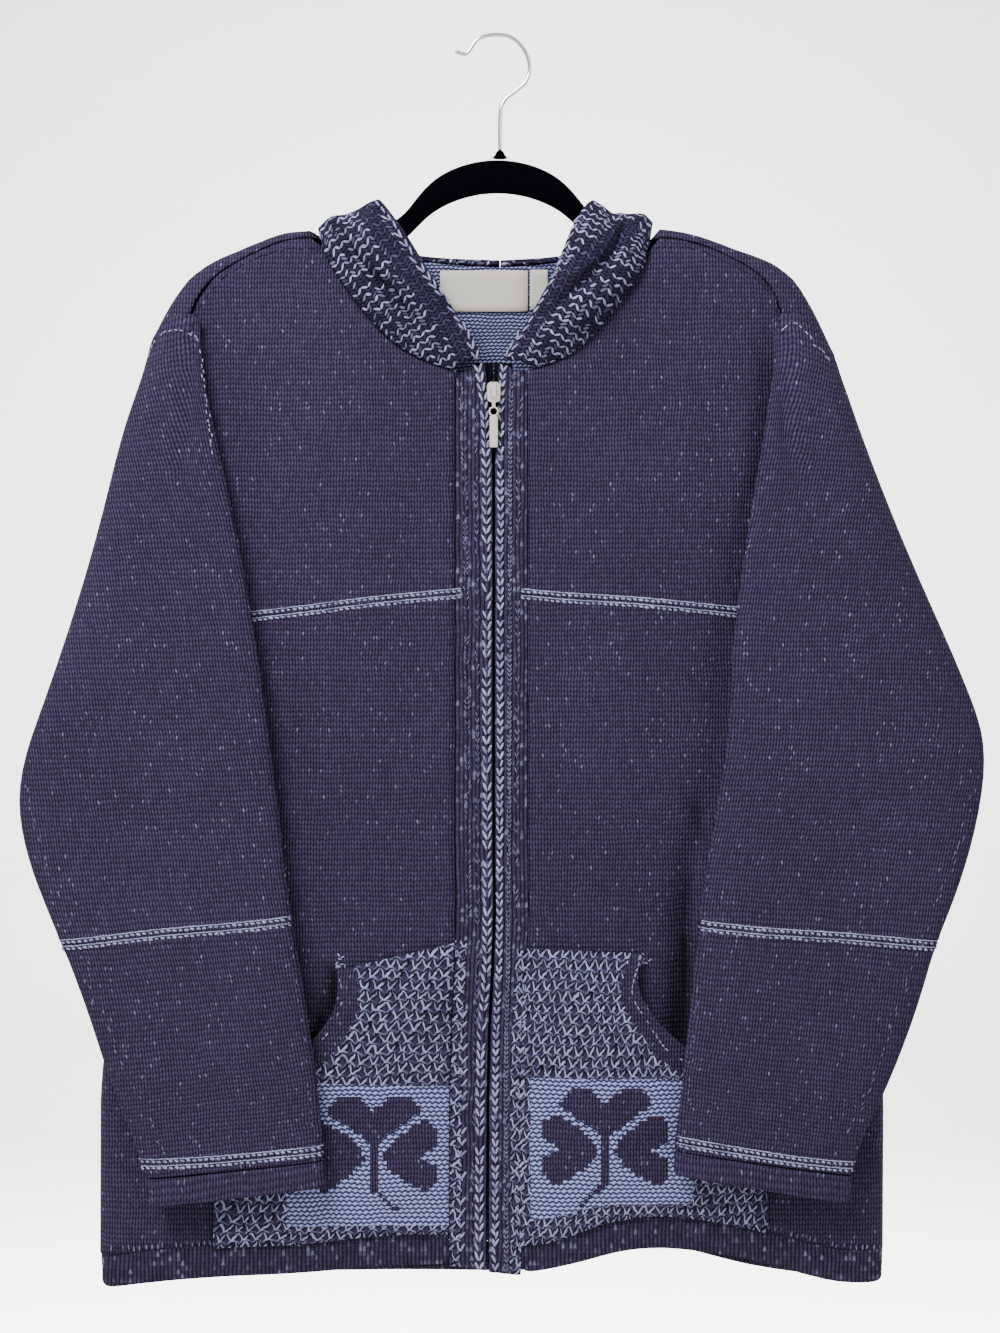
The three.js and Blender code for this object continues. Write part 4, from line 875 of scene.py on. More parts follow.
# The front edge of each armhole.
ARMHOLE_FRONT = {
    "left": [(-400, -248), (-300, -232), (-220, -229)],
    "right": [(-400, 234), (-300, 214), (-220, 209)],
}
# The top of each sleeve's head.
HEAD_TOP = {
    "left": [(-229, -222), (-244, -224), (-258, -228)],
    "right": [(209, -223), (230, -228), (248, -238)],
}
# How far the shoulders' ridge is raised, at each place across.
SHOULDER_RISE = [(-262, 0), (-252, 3), (-240, 6), (-230, 8.5), (-215, 7), (-197, 4.5), (-180, 4.5), (-160, 6),
                 (-138, 5.5), (-110, 3), (0, 0), (96, 3), (119, 5), (145, 4.5), (175, 4), (190, 6), (205, 9.5),
                 (219, 11), (232, 6), (245, 1), (256, 0)]
# How far the back's edges reach out to the sleeves, at each height, and how much its foot is raised.
ARMHOLE_REACH = [(-540, 0), (-500, 10), (-460, 11.5), (-420, 11.5), (-380, 13.5), (-340, 12), (-300, 7.5),
                 (-280, 5), (-260, 4), (-235, 3)]
BACK_FOOT_RISE = 12.0
# The top of the front hem, at each place across, and how far it is let into the cloth above.
HEM_LINE = [(-294, -907), (-248, -905.5), (-205, -902), (-144, -900), (-80, -894), (-36, -894), (24, -894),
            (69, -887), (100, -878.5), (161, -884.5), (205, -894.5), (250, -907), (284, -905)]
HEM_LET_IN = 2.5
# How far the zip and what lies beside it wander sideways, at each height.
DRIFT = [(-935, -4.8), (-795, -4.3), (-741, -3.2), (-699, -0.9), (-649, 0.7), (-600, 0)]

# How far the side seams swell out below the pockets' tops, and how far each sleeve is drawn in at its elbow.
SIDE_SWELL = {"left": 5.0, "right": 4.0}
ELBOW_IN = {"left": 4.5, "right": 2.0}
ELBOW_Z = -715
# The lowest part of the back's foot that shows: its middle in x, and its width.
BACK_FOOT_X, BACK_FOOT_WIDE = 118, 52
ZIP_CLOSED = 1.25         # how far each zip band is drawn in over the zip
# Each pocket's inner edge in x, how far it reaches towards the zip band, and how the patch is let down there
# and at its foot.
POCKET_INNER = {"left": (-36, 2.6), "right": (24, 4.6)}
POCKET_SUNK, FOOT_LOWERED, FOOT_SUNK = 1.8, 2.4, 1.0
# The cuff's seam lies this far below the stripe above it, and its foot begins this far below. Its foot is
# raised by the first of these, and its seam by both.
CUFF_SEAM, CUFF_FOOT = 19, 28
CUFF_RISE, CUFF_SEAM_RISE = 2.5, 6.5
HEAD_RAISED = 4.5         # how far the top of each sleeve's head is raised
ARMHOLE_DRAWN = 3.5       # how far its front edge is drawn over the armhole
# The way that the neck edge is tucked in, and that the shoulder's edge closes: outwards, back and up.
TUCK_WAY, CLOSE_WAY = (-0.75, 0.35, 0.6), (0.5, 0.8, 1.9)
HOOD_TOP_RISE = 3
ROLL_FORWARD = 0.4        # how far a roll comes forward, for each millimetre that it rises
HOOD_FALL = 260           # length of the hood's centre seam below its face edge
# The seam of the back at each shoulder, and where the neck begins on each side.
BACK_SHOULDER = [(-232, -236), (-200, -203), (-150, -178), (-96, -157), (76, -158), (130, -178), (180, -203),
                 (213, -240)]
NECK_SIDES = (-92, 74)
ROUND, CREASED = 0.15, 0.9      # creases of a free edge and of a seam
HOOD_ROUND, HOOD_CREASED = 0.1, 0.7
HOOD_ROLLED = 7                 # how near to the hood's face edge it is round

# How far a change of shape reaches from the line or place that it follows.
ZIP_REACH, PATCH_EDGE_REACH, PATCH_FOOT_REACH, ELBOW_REACH = 5, 7, 5, 60
HEAD_REACH, ARMHOLE_DRAWN_REACH, NECK_REACH, SHOULDER_SEAM_REACH = 8, 7, 7, 4

# Between which two places a change of shape comes in, or, for the drift, fades out: heights, depths, or
# distances from the middle, the zip, the fold or the seam.
DRIFT_FADES = (26, 78)
SHOULDER_FROM = (-340, -215)
SWELL_FROM, SWELL_OUT = (-720, -800), (210, 285)
FOOT_RISE_FROM = (-780, -925)
REACH_OUT = (180, 250)
HEM_TOP_FROM = (8, 0)
ZIP_CLOSED_FROM = (-285, -330)
CUFF_RISE_FROM, CUFF_SEAM_FROM = (90, 8), (-18, 0)
ELBOW_OUT = (40, 110)
ARMHOLE_FROM = (-350, -310)
HOOD_TOP_FROM, HOOD_TOP_AHEAD = (-178, -146), (26, 8)
SLEEVE_AHEAD, HOOD_AHEAD, ARMHOLE_AHEAD = (-25, -33), (8, -4), (4, -4)

# Stripes: across the chest and the back, and round each sleeve and cuff: from x to x, height, slope and the
# x that the height is taken at.
STRIPES = {
    "left": {"chest": (-205, -30, -409.2, 0.111, 0), "sleeve": (-360, -146, -653.6, 0.103, -152),
             "cuff": (-275, -128, -821.9, 0.077, -129)},
    "right": {"chest": (17, 192, -411.6, -0.083, 0), "sleeve": (140, 360, -657.1, -0.0837, 145.5),
              "cuff": (128, 275, -814.9, -0.147, 128.5)},
}


def folded(folds, outward=-1, layer=None):
    """A shape that lays soft creases into cloth. outward is the way that the cloth faces, in y."""
    def shape(p):
        moved = p.copy()
        share = layer(p) if layer else 1.0
        for line, width, depth in folds:
            moved[:, 1] += outward * share * soft_fold(p, line, width, depth)
        return moved
    return shape


def drifted(p):
    """Lets the cloth beside the zip wander as the zip does."""
    moved = p.copy()
    moved[:, 0] += table(DRIFT, p[:, 2]) * (1 - smooth(*DRIFT_FADES, abs(p[:, 0] - ZIP_X)))
    return moved


def risen(p):
    """How far the cloth rises with the ridge of the shoulders."""
    return table(SHOULDER_RISE, p[:, 0]) * smooth(*SHOULDER_FROM, p[:, 2])


def draped(p, foot_rise=0.0):
    """Rounds out the shoulders' top and the side seams' lower part, and raises the foot on the right."""
    moved = p.copy()
    x, _, z = p.T
    moved[:, 2] += risen(p)
    swell = np.where(x < 0, SIDE_SWELL["left"], SIDE_SWELL["right"])
    moved[:, 0] += np.sign(x) * swell * smooth(*SWELL_FROM, z) * smooth(*SWELL_OUT, abs(x))
    moved[:, 2] += foot_rise * close_to(x - BACK_FOOT_X, BACK_FOOT_WIDE) * smooth(*FOOT_RISE_FROM, z)
    return moved


def back_shape(p):
    """Creases, and side edges that reach out to the sleeves behind the armholes."""
    moved = draped(folded(BACK_FOLDS, outward=1)(p), BACK_FOOT_RISE)
    reach = table(ARMHOLE_REACH, p[:, 2]) * smooth(*REACH_OUT, abs(p[:, 0]))
    moved[:, 0] += np.sign(p[:, 0]) * reach
    return moved


def hem_shape(p):
    """The hem, let a little way into the cloth above it."""
    moved = draped(drifted(p))
    moved[:, 2] += HEM_LET_IN * smooth(*HEM_TOP_FROM, table(HEM_LINE, p[:, 0]) - p[:, 2])
    return moved


def closed_zip(p):
    """Draws the two bands closer to each other over the zip."""
    moved = drifted(p)
    away = p[:, 0] - ZIP_X
    moved[:, 0] -= np.sign(away) * ZIP_CLOSED * close_to(away, ZIP_REACH) * smooth(*ZIP_CLOSED_FROM, p[:, 2])
    return moved


def pocket_shape(side):
    """Brings the patch's inner edge up to the zip band and lowers it onto the cloth there."""
    edge, reach = POCKET_INNER[side]

    def shape(p):
        moved = drifted(p)
        share = close_to(p[:, 0] - edge, PATCH_EDGE_REACH)
        moved[:, 0] -= OUT[side] * reach * share
        moved[:, 1] += POCKET_SUNK * share
        foot = close_to(p[:, 2] - table(POCKET_FOOT[side], p[:, 0]), PATCH_FOOT_REACH)
        moved[:, 2] -= FOOT_LOWERED * foot
        moved[:, 1] += FOOT_SUNK * foot
        return moved
    return shape


def below_cuff_stripe(side, x, down):
    """The height that lies this far below the stripe on the cuff."""
    _, _, z0, slope, around = STRIPES[side]["cuff"]
    return z0 + slope * (x - around) - down


def cuff_shape(side):
    """Raises the cuff's seam to the stripe above it, and its foot a little."""
    def shape(p):
        moved = p.copy()
        above = p[:, 2] - below_cuff_stripe(side, p[:, 0], CUFF_SEAM)
        rise = CUFF_RISE + CUFF_SEAM_RISE * smooth(*CUFF_SEAM_FROM, above)
        moved[:, 2] += rise * smooth(*CUFF_RISE_FROM, above)
        return moved
    return shape


def sleeve_shape(side):
    """The sleeve's creases, its head raised with the shoulder, and its lower outer edge drawn in."""
    def shape(p):
        moved = folded(SLEEVE_FOLDS[side], layer=lambda q: smooth(*SLEEVE_AHEAD, q[:, 1]))(p)
        x, y, z = p.T
        moved[:, 2] += risen(p)
        outer = smooth(*ELBOW_OUT, abs(x - table(FOLD[side], z)))
        moved[:, 0] -= OUT[side] * outer * ELBOW_IN[side] * close_to(z - ELBOW_Z, ELBOW_REACH)
        gap, _ = nearest(face_on(p), even(HEAD_TOP[side], 4))
        moved[:, 2] += HEAD_RAISED * close_to(gap, HEAD_REACH)
        drawn = close_to(x - table(ARMHOLE_FRONT[side], z), ARMHOLE_DRAWN_REACH)
        drawn = drawn * smooth(*ARMHOLE_FROM, z) * smooth(*ARMHOLE_AHEAD, y)
        moved[:, 0] -= OUT[side] * ARMHOLE_DRAWN * drawn
        moved[:, 1] += ARMHOLE_DRAWN * drawn
        return cuff_shape(side)(moved)
    return shape


def front_shape(side):
    """Creases, a neck edge tucked under the hood, and a top edge that closes on the shoulder's seam."""
    neck = np.array(NECK_SEAM[side], float)
    seam = np.array(SHOULDER_SEAM[side], float)

    def pull(way):
        return np.array([OUT[side] * way[0], way[1], way[2]])

    def shape(p):
        moved = draped(drifted(folded(FRONT_FOLDS[side])(p)))
        gap, _ = nearest(face_on(p), neck[:, :2])
        tuck = table(list(zip(neck[:, 0], neck[:, 2])), p[:, 0]) * close_to(gap, NECK_REACH)
        moved += tuck[:, None] * pull(TUCK_WAY)
        gap, _ = nearest(face_on(p), seam)
        moved += close_to(gap, SHOULDER_SEAM_REACH)[:, None] * pull(CLOSE_WAY)
        return moved
    return shape


def hood_shape(side):
    """The hood's creases, and the soft rolls of its top edge."""
    def in_front(p):
        return smooth(*HOOD_AHEAD, p[:, 1])

    def shape(p):
        moved = folded(HOOD_FOLDS[side], layer=in_front)(p)
        top = smooth(*HOOD_TOP_FROM, p[:, 2]) * smooth(*HOOD_TOP_AHEAD, p[:, 1])
        moved[:, 2] += HOOD_TOP_RISE * top
        for x, half, rise in HOOD_ROLLS[side]:
            roll = close_to(p[:, 0] - x, half)
            moved[:, 2] += top * rise * roll
            moved[:, 1] -= top * in_front(p) * abs(rise) * ROLL_FORWARD * roll
        return moved
    return shape


def strip_knit(side):
    """The hood's chart: across from the face edge, and along it."""
    def knit(p):
        x, y, z = FACE_EDGE[side][-1]
        return nearest(p, even(FACE_EDGE[side] + [(x, y, z - HOOD_FALL)], 8))
    return knit


def over_shoulder(x, z):
    """Is this above the shoulder seam, where the back panel rolls over to the front?"""
    return (x < NECK_SIDES[0] or x > NECK_SIDES[1]) and z > table(BACK_SHOULDER, x)


def rounded_foot(level):
    """Creases that leave the free edge below a height round."""
    return lambda middle: ROUND if middle.z < level else CREASED


def rounded_cuff(side):
    """Creases that leave the cuff's foot round. Its top follows the stripe above it."""
    return lambda middle: ROUND if middle.z < below_cuff_stripe(side, middle.x, CUFF_FOOT) else CREASED


def rounded_face(side):
    """Creases that leave the hood's face edge round."""
    edge = even(FACE_EDGE[side], 8)

    def crease(middle):
        gap, _ = nearest(np.array([middle]), edge)
        return HOOD_ROUND if gap[0] < HOOD_ROLLED else HOOD_CREASED
    return crease


back = cloth("knit_back", "back_panel", navy, shape=back_shape)
line_the_inside(back, inside, 1, but=over_shoulder)
hem_back = cloth("band_hem_back", "hem_back", hem_knit, crease=rounded_foot(-918),
                 shape=lambda p: draped(p, BACK_FOOT_RISE))
front, sleeve, cuff, pocket, placket, hood, hem, tape = {}, {}, {}, {}, {}, {}, {}, {}
for side in OUT:
    front[side] = cloth(f"knit_front_{side}", f"front_{side}",
                        material(f"front knit {side}", paint_front, 1.1), crease=1.0, shape=front_shape(side))
    # Painted shade: how dark each point of the front is painted, near the lines listed above, stored in a chart.
    p = points_of(front[side])
    dark = np.zeros(len(p))
    for line, half, dark_there in PAINTED_FRONT_SHADE[side]:
        gap, _ = nearest(face_on(p), even(line, 6))
        dark = np.maximum(dark, dark_there * np.exp(-(gap / half) ** 4))
    chart(front[side], "deep", 1 - dark, dark)
    line_the_inside(front[side], inside, -1)
    hem[side] = cloth(f"band_hem_{side}", f"hem_{side}", hem_knit, crease=rounded_foot(-914),
                      shape=hem_shape)
    sleeve[side] = cloth(f"knit_sleeve_{side}", f"sleeve_{side}", navy, knit=sleeve_knit(side),
                         shape=sleeve_shape(side))
    cuff[side] = cloth(f"band_cuff_{side}", f"cuff_{side}", navy, crease=rounded_cuff(side),
                       knit=sleeve_knit(side), shape=cuff_shape(side))
    placket[side] = cloth(f"band_zip_{side}", f"placket_{side}",
                          material(f"zip band knit {side}", paint_band(side), 1.2), knit=as_cut,
                          shape=closed_zip)
    tape[side] = cloth(f"tape_{side}", f"zip_tape_{side}", black_tape, levels=1, shape=drifted)
    pocket[side] = cloth(f"patch_pocket_{side}", f"pocket_{side}",
                         material(f"pocket knit {side}", paint_pocket(side), 1.4), crease=0.8,
                         shape=pocket_shape(side))
    p = points_of(pocket[side])
    gap, along = nearest(face_on(p), even(HAND_EDGE[side], 4))
    chart(pocket[side], "edge", gap, along)
    hood[side] = cloth(f"knit_hood_{side}", f"hood_{side}",
                       material(f"hood knit {side}", paint_hood(side), 1.6), crease=rounded_face(side),
                       knit=strip_knit(side), shape=hood_shape(side))
    p = points_of(hood[side])
    gap, _ = nearest(face_on(p), even(HOOD_STRIP[side], 6))
    chart(hood[side], "strip", gap, p[:, 1])
label = cloth("label_neck", "neck_label", label_cloth, levels=1)
tab = cloth("label_size", "size_tab", label_cloth, levels=1)


# ------------------------------------------------------------------ yarn laid on the cloth
RAY_START = 300      # rays at the cloth start this far in front of it, or behind


def skin_of(objs, way=-1):
    """The surface of some pieces as seen from the front (way -1) or the back (way 1)."""
    verts, faces = [], []
    for obj in objs:
        base = len(verts)
        verts += [tuple(q) for q in points_of(obj)]
        faces += [tuple(base + i for i in face.vertices) for face in obj.data.polygons]
    return BVHTree.FromPolygons(verts, faces), way


def on_skin(skin, x, z):
    """The point of the cloth at x and z, and the way that it faces."""
    tree, way = skin
    hit, normal, _, _ = tree.ray_cast(Vector((x, RAY_START * way, z)), Vector((0, -way, 0)))
    if hit is None:
        return None, None
    hit, normal = np.array(hit), np.array(normal)
    return hit, normal if normal[1] * way > 0 else -normal


def grain(sides=6, rings=3):
    """A unit grain, long in its first direction: its points and faces."""
    points = [(-1, 0, 0)]
    for r in range(1, rings + 1):
        angle = math.pi * r / (rings + 1)
        points += [(-math.cos(angle), math.sin(angle) * math.cos(a), math.sin(angle) * math.sin(a))
                   for a in np.linspace(0, TAU, sides, endpoint=False)]
    points.append((1, 0, 0))
    faces = [(0, 1 + (k + 1) % sides, 1 + k) for k in range(sides)]
    for r in range(rings - 1):
        a = 1 + r * sides
        b = a + sides
        faces += [(a + k, a + (k + 1) % sides, b + (k + 1) % sides, b + k) for k in range(sides)]
    last = 1 + (rings - 1) * sides
    faces += [(last + k, last + (k + 1) % sides, len(points) - 1) for k in range(sides)]
    return np.array(points), faces


YARN_SUNK = 0.25      # share of a stitch's height that is sunk in the cloth
STEEPEST = 0.25       # no yarn is laid where the cloth faces further aside than this


def lay(name, marks, skin, surface):
    """Loops of yarn on the cloth. Each mark is x, z, its turn in degrees, its length, width and height."""
    shape, shape_faces = grain()
    points, faces = [], []
    for x, z, turn, long, wide, high in marks:
        at, normal = on_skin(skin, x, z)
        if at is None or abs(normal[1]) < STEEPEST:
            continue
        ahead = np.array([math.cos(math.radians(turn)), 0, math.sin(math.radians(turn))])
        ahead -= normal * (ahead @ normal)
        ahead /= np.linalg.norm(ahead)
        aside = np.cross(normal, ahead)
        base = len(points)
        middle = at + normal * high * (0.5 - YARN_SUNK)
        points += [middle + q[0] * ahead * long / 2 + q[1] * aside * wide / 2 + q[2] * normal * high / 2
                   for q in shape]
        faces += [tuple(base + i for i in face) for face in shape_faces]
    obj = add(name, smooth_mesh(name, points, faces))
    obj.data.materials.append(surface)
    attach(obj, BODY)


def headings(path):
    """The way that a path in x and z leads at each of its points, in degrees."""
    step = np.gradient(path, axis=0)
    return np.degrees(np.arctan2(step[:, 1], step[:, 0]))


def v_chain(line, pitch, wide, long, thick=1.9, lean=24, missing=0.08):
    """Marks for a column of V stitches along a line in x and z, their points leading."""
    path = even(line, pitch)
    marks = []
    for (x, z), turn in zip(path, headings(path)):
        c, s = math.cos(math.radians(turn)), math.sin(math.radians(turn))
        for hand in (-1, 1):
            if rng.random() < missing:
                continue
            off = hand * wide / 4 + rng.normal(0, 0.15)
            slide = rng.normal(0, pitch * 0.06)
            marks.append((x - s * off + c * slide, z + c * off + s * slide,
                          turn - hand * (lean + rng.normal(0, 4)),
                          long * rng.uniform(0.85, 1.1), thick * rng.uniform(0.8, 1.1), thick * 0.8))
    return marks


def dots(line, pitch, long, thick, turn_by=0.0, jitter=0.2, missing=0.0, drop=0.0):
    """Marks for a row of separate stitches along a line in x and z."""
    path = even(line, pitch)
    marks = []
    for (x, z), turn in zip(path, headings(path)):
        if rng.random() < missing:
            continue
        marks.append((x + rng.normal(0, jitter), z - drop + rng.normal(0, jitter),
                      turn + turn_by + rng.normal(0, 5),
                      long * rng.uniform(0.85, 1.15), thick * rng.uniform(0.85, 1.15), thick * 0.85))
    return marks


STRIPE_ROW = 4.9      # from one row of a stripe to the next


def stripe(line):
    """Marks for a stripe: two rows, each of a thin run of yarn with rounded stitches close below it."""
    marks = []
    for down in (0.0, STRIPE_ROW):
        marks += dots(line, WALE / 2, long=3.2, thick=1.15, drop=down, jitter=0.08)
        marks += dots(line, WALE, long=3.5, thick=2.0, turn_by=-14, drop=down + 1.8, jitter=0.15)
    return marks


def sloped(x0, x1, z0, slope, around=0.0, steps=9):
    """A nearly straight line in x and z, wandering a little."""
    xs = np.linspace(x0, x1, steps)
    return [(x, z0 + slope * (x - around) + 0.5 * math.sin(x / 23.0 + z0)) for x in xs]


front_skin = {side: skin_of([front[side], placket[side], hem[side]]) for side in OUT}
sleeve_skin = {side: skin_of([sleeve[side], cuff[side]]) for side in OUT}
sleeve_rear = {side: skin_of([sleeve[side], cuff[side]], 1) for side in OUT}
band_skin = skin_of([placket["left"], placket["right"], front["left"], front["right"]])
back_skin = skin_of([back, hem_back], 1)
hood_skin = {side: skin_of([hood[side]]) for side in OUT}

for side in OUT:
    for place, extent in STRIPES[side].items():
        skins = [("", front_skin)] if place == "chest" else [("", sleeve_skin), ("rear_", sleeve_rear)]
        for where, skin in skins:
            lay(f"stripe_{place}_{where}{side}", stripe(sloped(*extent)), skin[side], yarn)
lay("stripe_back", stripe(sloped(-285, 285, -414, 0.0, steps=15)), back_skin, yarn)

# Columns of stitches beside the zip: each line, its stitches' pitch, width, length and thickness, the share
# of them that is missing, and the yarn.
ZIP_COLUMNS = {
    "left": [
        ([(-16, -249), (-12.5, -272), (-10.6, -300), (-10, -360), (-9.6, -560), (-9.6, -680), (-11.5, -715),
          (-14, -750), (-15.2, -830), (-15.5, -922)], 7.1, 6.6, 7.6, 2.3, 0.08, yarn),
        ([(-36, -240), (-30, -262), (-27, -300), (-25.2, -400), (-24, -560), (-23, -660)],
         3.7, 4.6, 3.6, 1.2, 0.45, dim_yarn),
        ([(-26, -247), (-20.5, -268), (-18.4, -310), (-17, -420), (-16.8, -680), (-18.6, -760), (-20, -920)],
         5.0, 2.6, 4.4, 1.0, 0.55, dim_yarn),
    ],
    "right": [
        ([(2.5, -249), (1, -275), (0.4, -330), (0, -560), (-0.6, -680), (-1.8, -715), (-3, -750), (-3.6, -830),
          (-3.4, -922)], 6.1, 4.4, 6.3, 2.1, 0.06, yarn),
        ([(12, -246), (8.6, -266), (7.6, -300), (7.3, -420), (6.3, -660), (5.2, -720), (4.4, -780),
          (4.6, -922)], 3.5, 3.0, 3.5, 1.4, 0.12, dim_yarn),
        ([(24, -240), (17.5, -258), (14.4, -290), (13.4, -400), (12.4, -560), (11, -660)],
         5.6, 3.4, 4.6, 1.1, 0.6, dim_yarn),
    ],
}
for side, columns in ZIP_COLUMNS.items():
    for number, (line, pitch, wide, long, thick, missing, shade) in enumerate(columns, 1):
        marks = v_chain(line, pitch, wide, long, thick, missing=missing)
        lay(f"zip_column_{side}_{number}", marks, band_skin, shade)

# The pockets' inner edges: a chain of longer stitches, and the sewing of the hand openings and their corners.
POCKET_EDGE = {
    "left": [(-29, -684), (-27.5, -760), (-28.5, -840), (-29.5, -902)],
    "right": [(17.5, -686), (15.5, -760), (14.5, -840), (15, -900)],
}
HAND_SEWING_IN = 2.2                            # how far the sewing is in from the hand opening's edge
HAND_MISSING = {"left": 0.6, "right": 0.15}     # share of it that doesn't show
CORNER = {"left": (-119.5, -691), "right": (104.5, -688)}
CORNER_STITCHES, CORNER_SPREAD, CORNER_STITCH = 9, 2.2, (3.6, 1.2, 1.0)
sewn_skin = {side: skin_of([pocket[side], placket[side], front[side]]) for side in OUT}
for side in OUT:
    marks = v_chain(POCKET_EDGE[side], pitch=8.6, wide=5.5, long=7.2, thick=1.9, lean=38, missing=0.3)
    inner = [(x - OUT[side] * HAND_SEWING_IN, z) for x, z in HAND_EDGE[side]]
    marks += dots(inner, pitch=4.2, long=3.2, thick=1.1, missing=HAND_MISSING[side])
    x, z = CORNER[side]
    for _ in range(CORNER_STITCHES):
        marks.append((x + rng.normal(0, CORNER_SPREAD), z + rng.normal(0, CORNER_SPREAD), rng.uniform(0, 180),
                      *CORNER_STITCH))
    lay(f"pocket_sewing_{side}", marks, sewn_skin[side], yarn)

# The hem's ribs end in small upright stitches under the body's knit.
HEM_TOP = {
    "left": [(-293, -904), (-248, -901), (-205, -898), (-144, -896), (-80, -891), (-36, -889)],
    "right": [(24, -889), (45, -884), (69, -880), (100, -872), (161, -877), (205, -888), (250, -900),
              (282, -902)],
}
for side in OUT:
    marks = dots(HEM_TOP[side], WALE, long=4.4, thick=1.5, turn_by=90, jitter=0.5, missing=0.25)
    lay(f"hem_sewing_{side}", marks, front_skin[side], dim_yarn)

# The sleeve's lower outer fold, which pale flecks follow a little way in.
UNDERARM = {
    "left": [(-354, -553), (-344, -596), (-333, -629), (-318, -666), (-298, -718), (-285, -752), (-245, -836)],
    "right": [(352, -560), (340, -606), (322, -650), (303, -700), (285, -754), (268, -795), (250, -836)],
}
# The seam over the sleeve's head.
HEAD_SEAM = {
    "left": [(-261, -240), (-254.5, -227), (-244, -222.5), (-231, -224), (-223.5, -231), (-220, -254.5),
             (-211.5, -316)],
    "right": [(209, -222), (216, -217), (226.6, -224), (231.6, -232), (247, -246)],
}
# The sleeve's inner edge, where it lies on the front. Flecks follow it a little way in too.
SLEEVE_EDGE = {
    "left": [(-196, -330), (-178, -420), (-168, -500), (-158, -580), (-150, -660), (-138, -760), (-130, -840)],
    "right": [(186, -330), (172, -420), (162, -510), (152, -600), (144, -680), (136, -760), (130, -830)],
}
UNDERARM_IN, SLEEVE_EDGE_IN = 5, 4
for side in OUT:
    fold = [(x - OUT[side] * UNDERARM_IN, z) for x, z in UNDERARM[side]]
    marks = dots(fold, pitch=4.6, long=3.4, thick=1.1, jitter=1.2, missing=0.4)
    edge = [(x + OUT[side] * SLEEVE_EDGE_IN, z) for x, z in SLEEVE_EDGE[side]]
    marks += dots(edge, pitch=4.8, long=3.2, thick=1.0, jitter=0.7, missing=0.45)
    lay(f"sleeve_flecks_{side}", marks, sleeve_skin[side], dim_yarn)
    around = skin_of([front[side], back, sleeve[side]])
    # Stitches along the shoulder seam, in dark yarn that paints the shadow of the seam's groove.
    marks = dots(SHOULDER_SEAM[side], pitch=4.2, long=3.6, thick=1.0, jitter=0.3, missing=0.2)
    lay(f"shoulder_sewing_{side}", marks, around, seam_shadow_yarn)
    marks = dots(HEAD_SEAM[side], pitch=3.8, long=3.2, thick=1.3, jitter=0.5, missing=0.25)
    lay(f"head_sewing_{side}", marks, around, yarn)

# The zip's teeth, down the inner edge of each tape.
TOOTH = (2.7, 0.95, 1.1)      # length, width and height
TOOTH_PITCH, TOOTH_ASIDE = 1.6, 1.3
ZIP_TOP, ZIP_FOOT = -286, -926
teeth = []
for x, first in ((-TOOTH_ASIDE, 0.0), (TOOTH_ASIDE, TOOTH_PITCH / 2)):
    heights = np.arange(ZIP_TOP - first, ZIP_FOOT, -TOOTH_PITCH)
    teeth += [(ZIP_X + x + table(DRIFT, z), z, 0, *TOOTH) for z in heights]
lay("zip_teeth", teeth, skin_of([tape["left"], tape["right"]]), black_tape)

# Columns of stitches along the hood's face edge.
HOOD_CHAIN = {
    "left": [(-92.5, -127), (-81, -142), (-65, -167.5), (-47.5, -191), (-34, -208.5), (-22.5, -229.5),
             (-16, -247)],
    "right": [(58.5, -131), (49, -157), (38, -184), (24, -210), (12, -230), (2.5, -246)],
}
for side, line in HOOD_CHAIN.items():
    marks = v_chain(line, pitch=7.4, wide=5.2, long=7.6, thick=2.0)
    lay(f"hood_edge_{side}", marks, hood_skin[side], yarn)

# ------------------------------------------------------------------ hanger, zip and slider
hanger = softened("hanger_arms", "hanger_body", levels=2, crease=0.35)
collar = softened("hanger_neck", "hanger_collar", levels=2, crease=0.6)
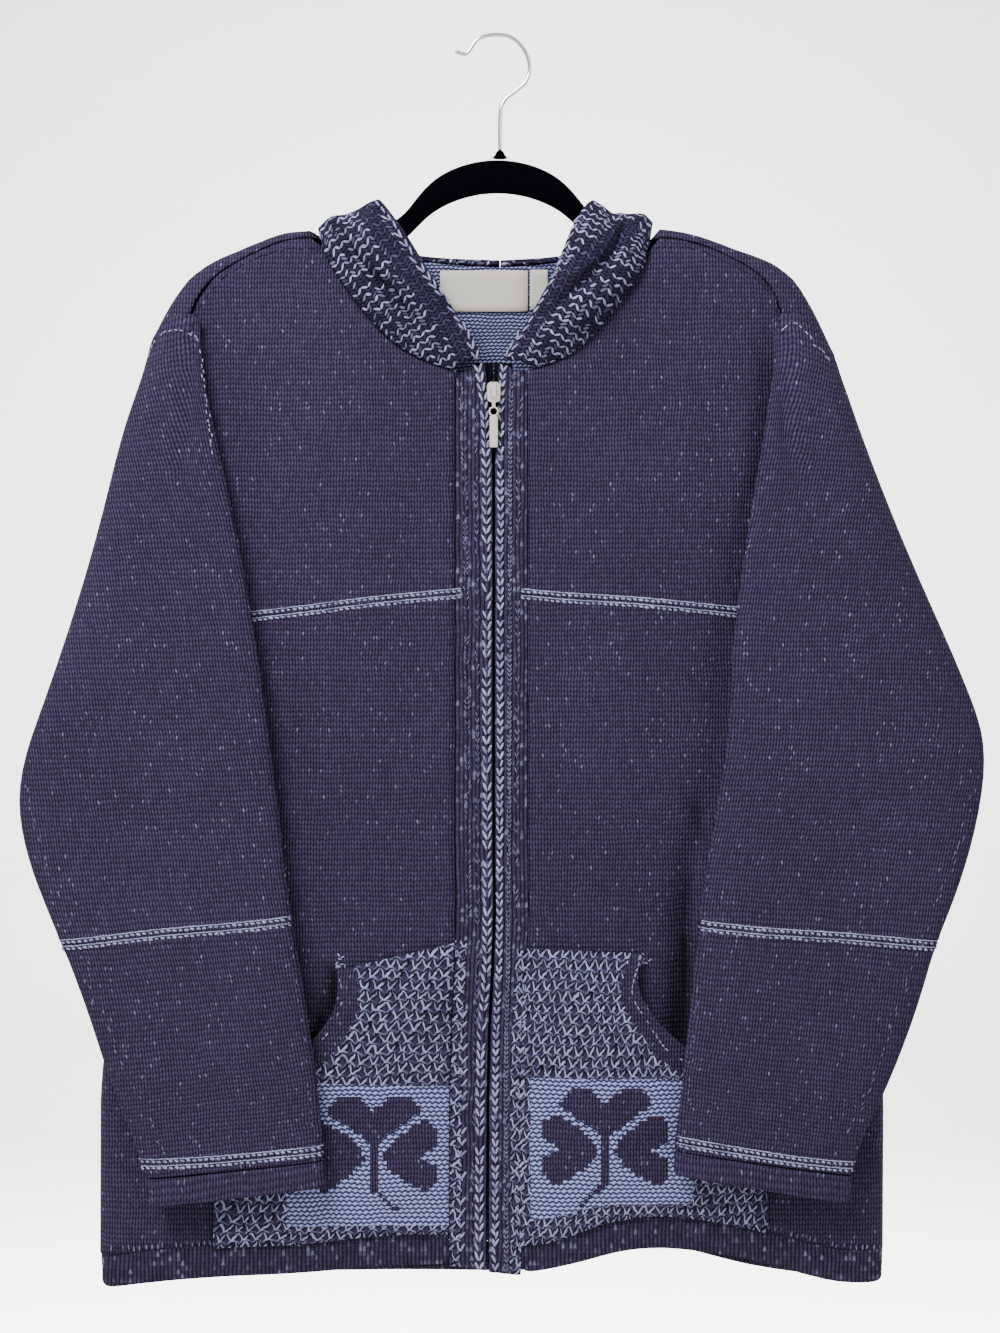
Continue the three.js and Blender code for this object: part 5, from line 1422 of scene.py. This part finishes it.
# The middle of the hook's wire, from its free tip down to the collar.
HOOK_LINE = [(-33.4, -11), (-25.2, -12.6), (-17.5, -2.4), (-9.6, 0.9), (0, 1.5), (9, -0.8), (16.6, -7.6),
             (21.4, -17), (22, -26), (18.6, -34.4), (11.6, -40.6), (5, -45.6), (1, -52.4), (0, -62), (0, -85.2)]
hook_path = spline(HOOK_LINE, 120)
hook = tube("hook", np.insert(hook_path, 1, 0, axis=1), HOOK_WIRE / 2)
for obj, node, slot, surface in ((hanger, "hanger_body", "velvet", velvet),
                                 (collar, "hanger_collar", "velvet", velvet),
                                 (hook, "hanger_hook", "chrome", chrome)):
    obj.data.materials.append(surface)
    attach(obj, BODY)
    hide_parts(node)
for node in ("zip_slider", "zip_pull"):
    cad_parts[node].data.materials.clear()
    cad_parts[node].data.materials.append(nickel)


def sewn(*names):
    """The objects of these names."""
    return [bpy.data.objects[name] for name in names]


for side in OUT:
    sewn("zip_teeth") if side == "left" else ()

# ------------------------------------------------------------------ stage, light and camera
FLOOR_HALF = 6000
FLOOR_PROFILE = [(-6000, -1300), (2600, -1300), (3100, -1200), (3400, -900), (3500, -400), (3500, 5000)]
floor = add("floor", grid_mesh("floor", [[(-FLOOR_HALF, y, z), (FLOOR_HALF, y, z)] for y, z in FLOOR_PROFILE]))
floor_paint = plain("pale studio floor", (0.86, 0.84, 0.82, 1), {"Roughness": 0.95, "Specular IOR Level": 0.1})
floor.data.materials.append(floor_paint)


def area_light(name, place, target, size, power):
    """A round lamp at a place, turned to its target, in metres and watts."""
    light = bpy.data.lights.new(name, "AREA")
    light.shape = "DISK"
    light.size = size
    light.energy = power
    obj = add(name, light)
    obj.location = place
    obj.rotation_euler = (Vector(target) - Vector(place)).to_track_quat("-Z", "Y").to_euler()


area_light("key light", (-0.8, -1.35, 1.0), (0, 0, -0.3), 0.9, 135)
area_light("fill light", (1.9, -2.6, 0.6), (0, 0, -0.4), 2.0, 34)
area_light("rear light", (0.5, 2.0, 0.8), (0, 0, -0.4), 2.0, 60)
area_light("backdrop light", (0.0, 1.2, -0.3), (0, 3.5, -0.3), 2.6, 205)
world = bpy.data.worlds.new("studio")
world.use_nodes = True
sky = world.node_tree.nodes["Background"]
sky.inputs["Color"].default_value = (1.0, 0.99, 0.985, 1)
sky.inputs["Strength"].default_value = 1.15
bpy.context.scene.world = world

SENSOR = 36
VIEW_AWAY, VIEW_TALL = 1.9, 0.989     # from the camera to the cloth's front, and how tall its view is there
camera = add("camera", bpy.data.cameras.new("camera"))
camera.data.sensor_width = SENSOR
camera.data.lens = SENSOR * VIEW_AWAY / VIEW_TALL
camera.location = (0, -1.915, -0.4708)
camera.rotation_euler = (math.pi / 2, 0, 0)
bpy.context.scene.camera = camera
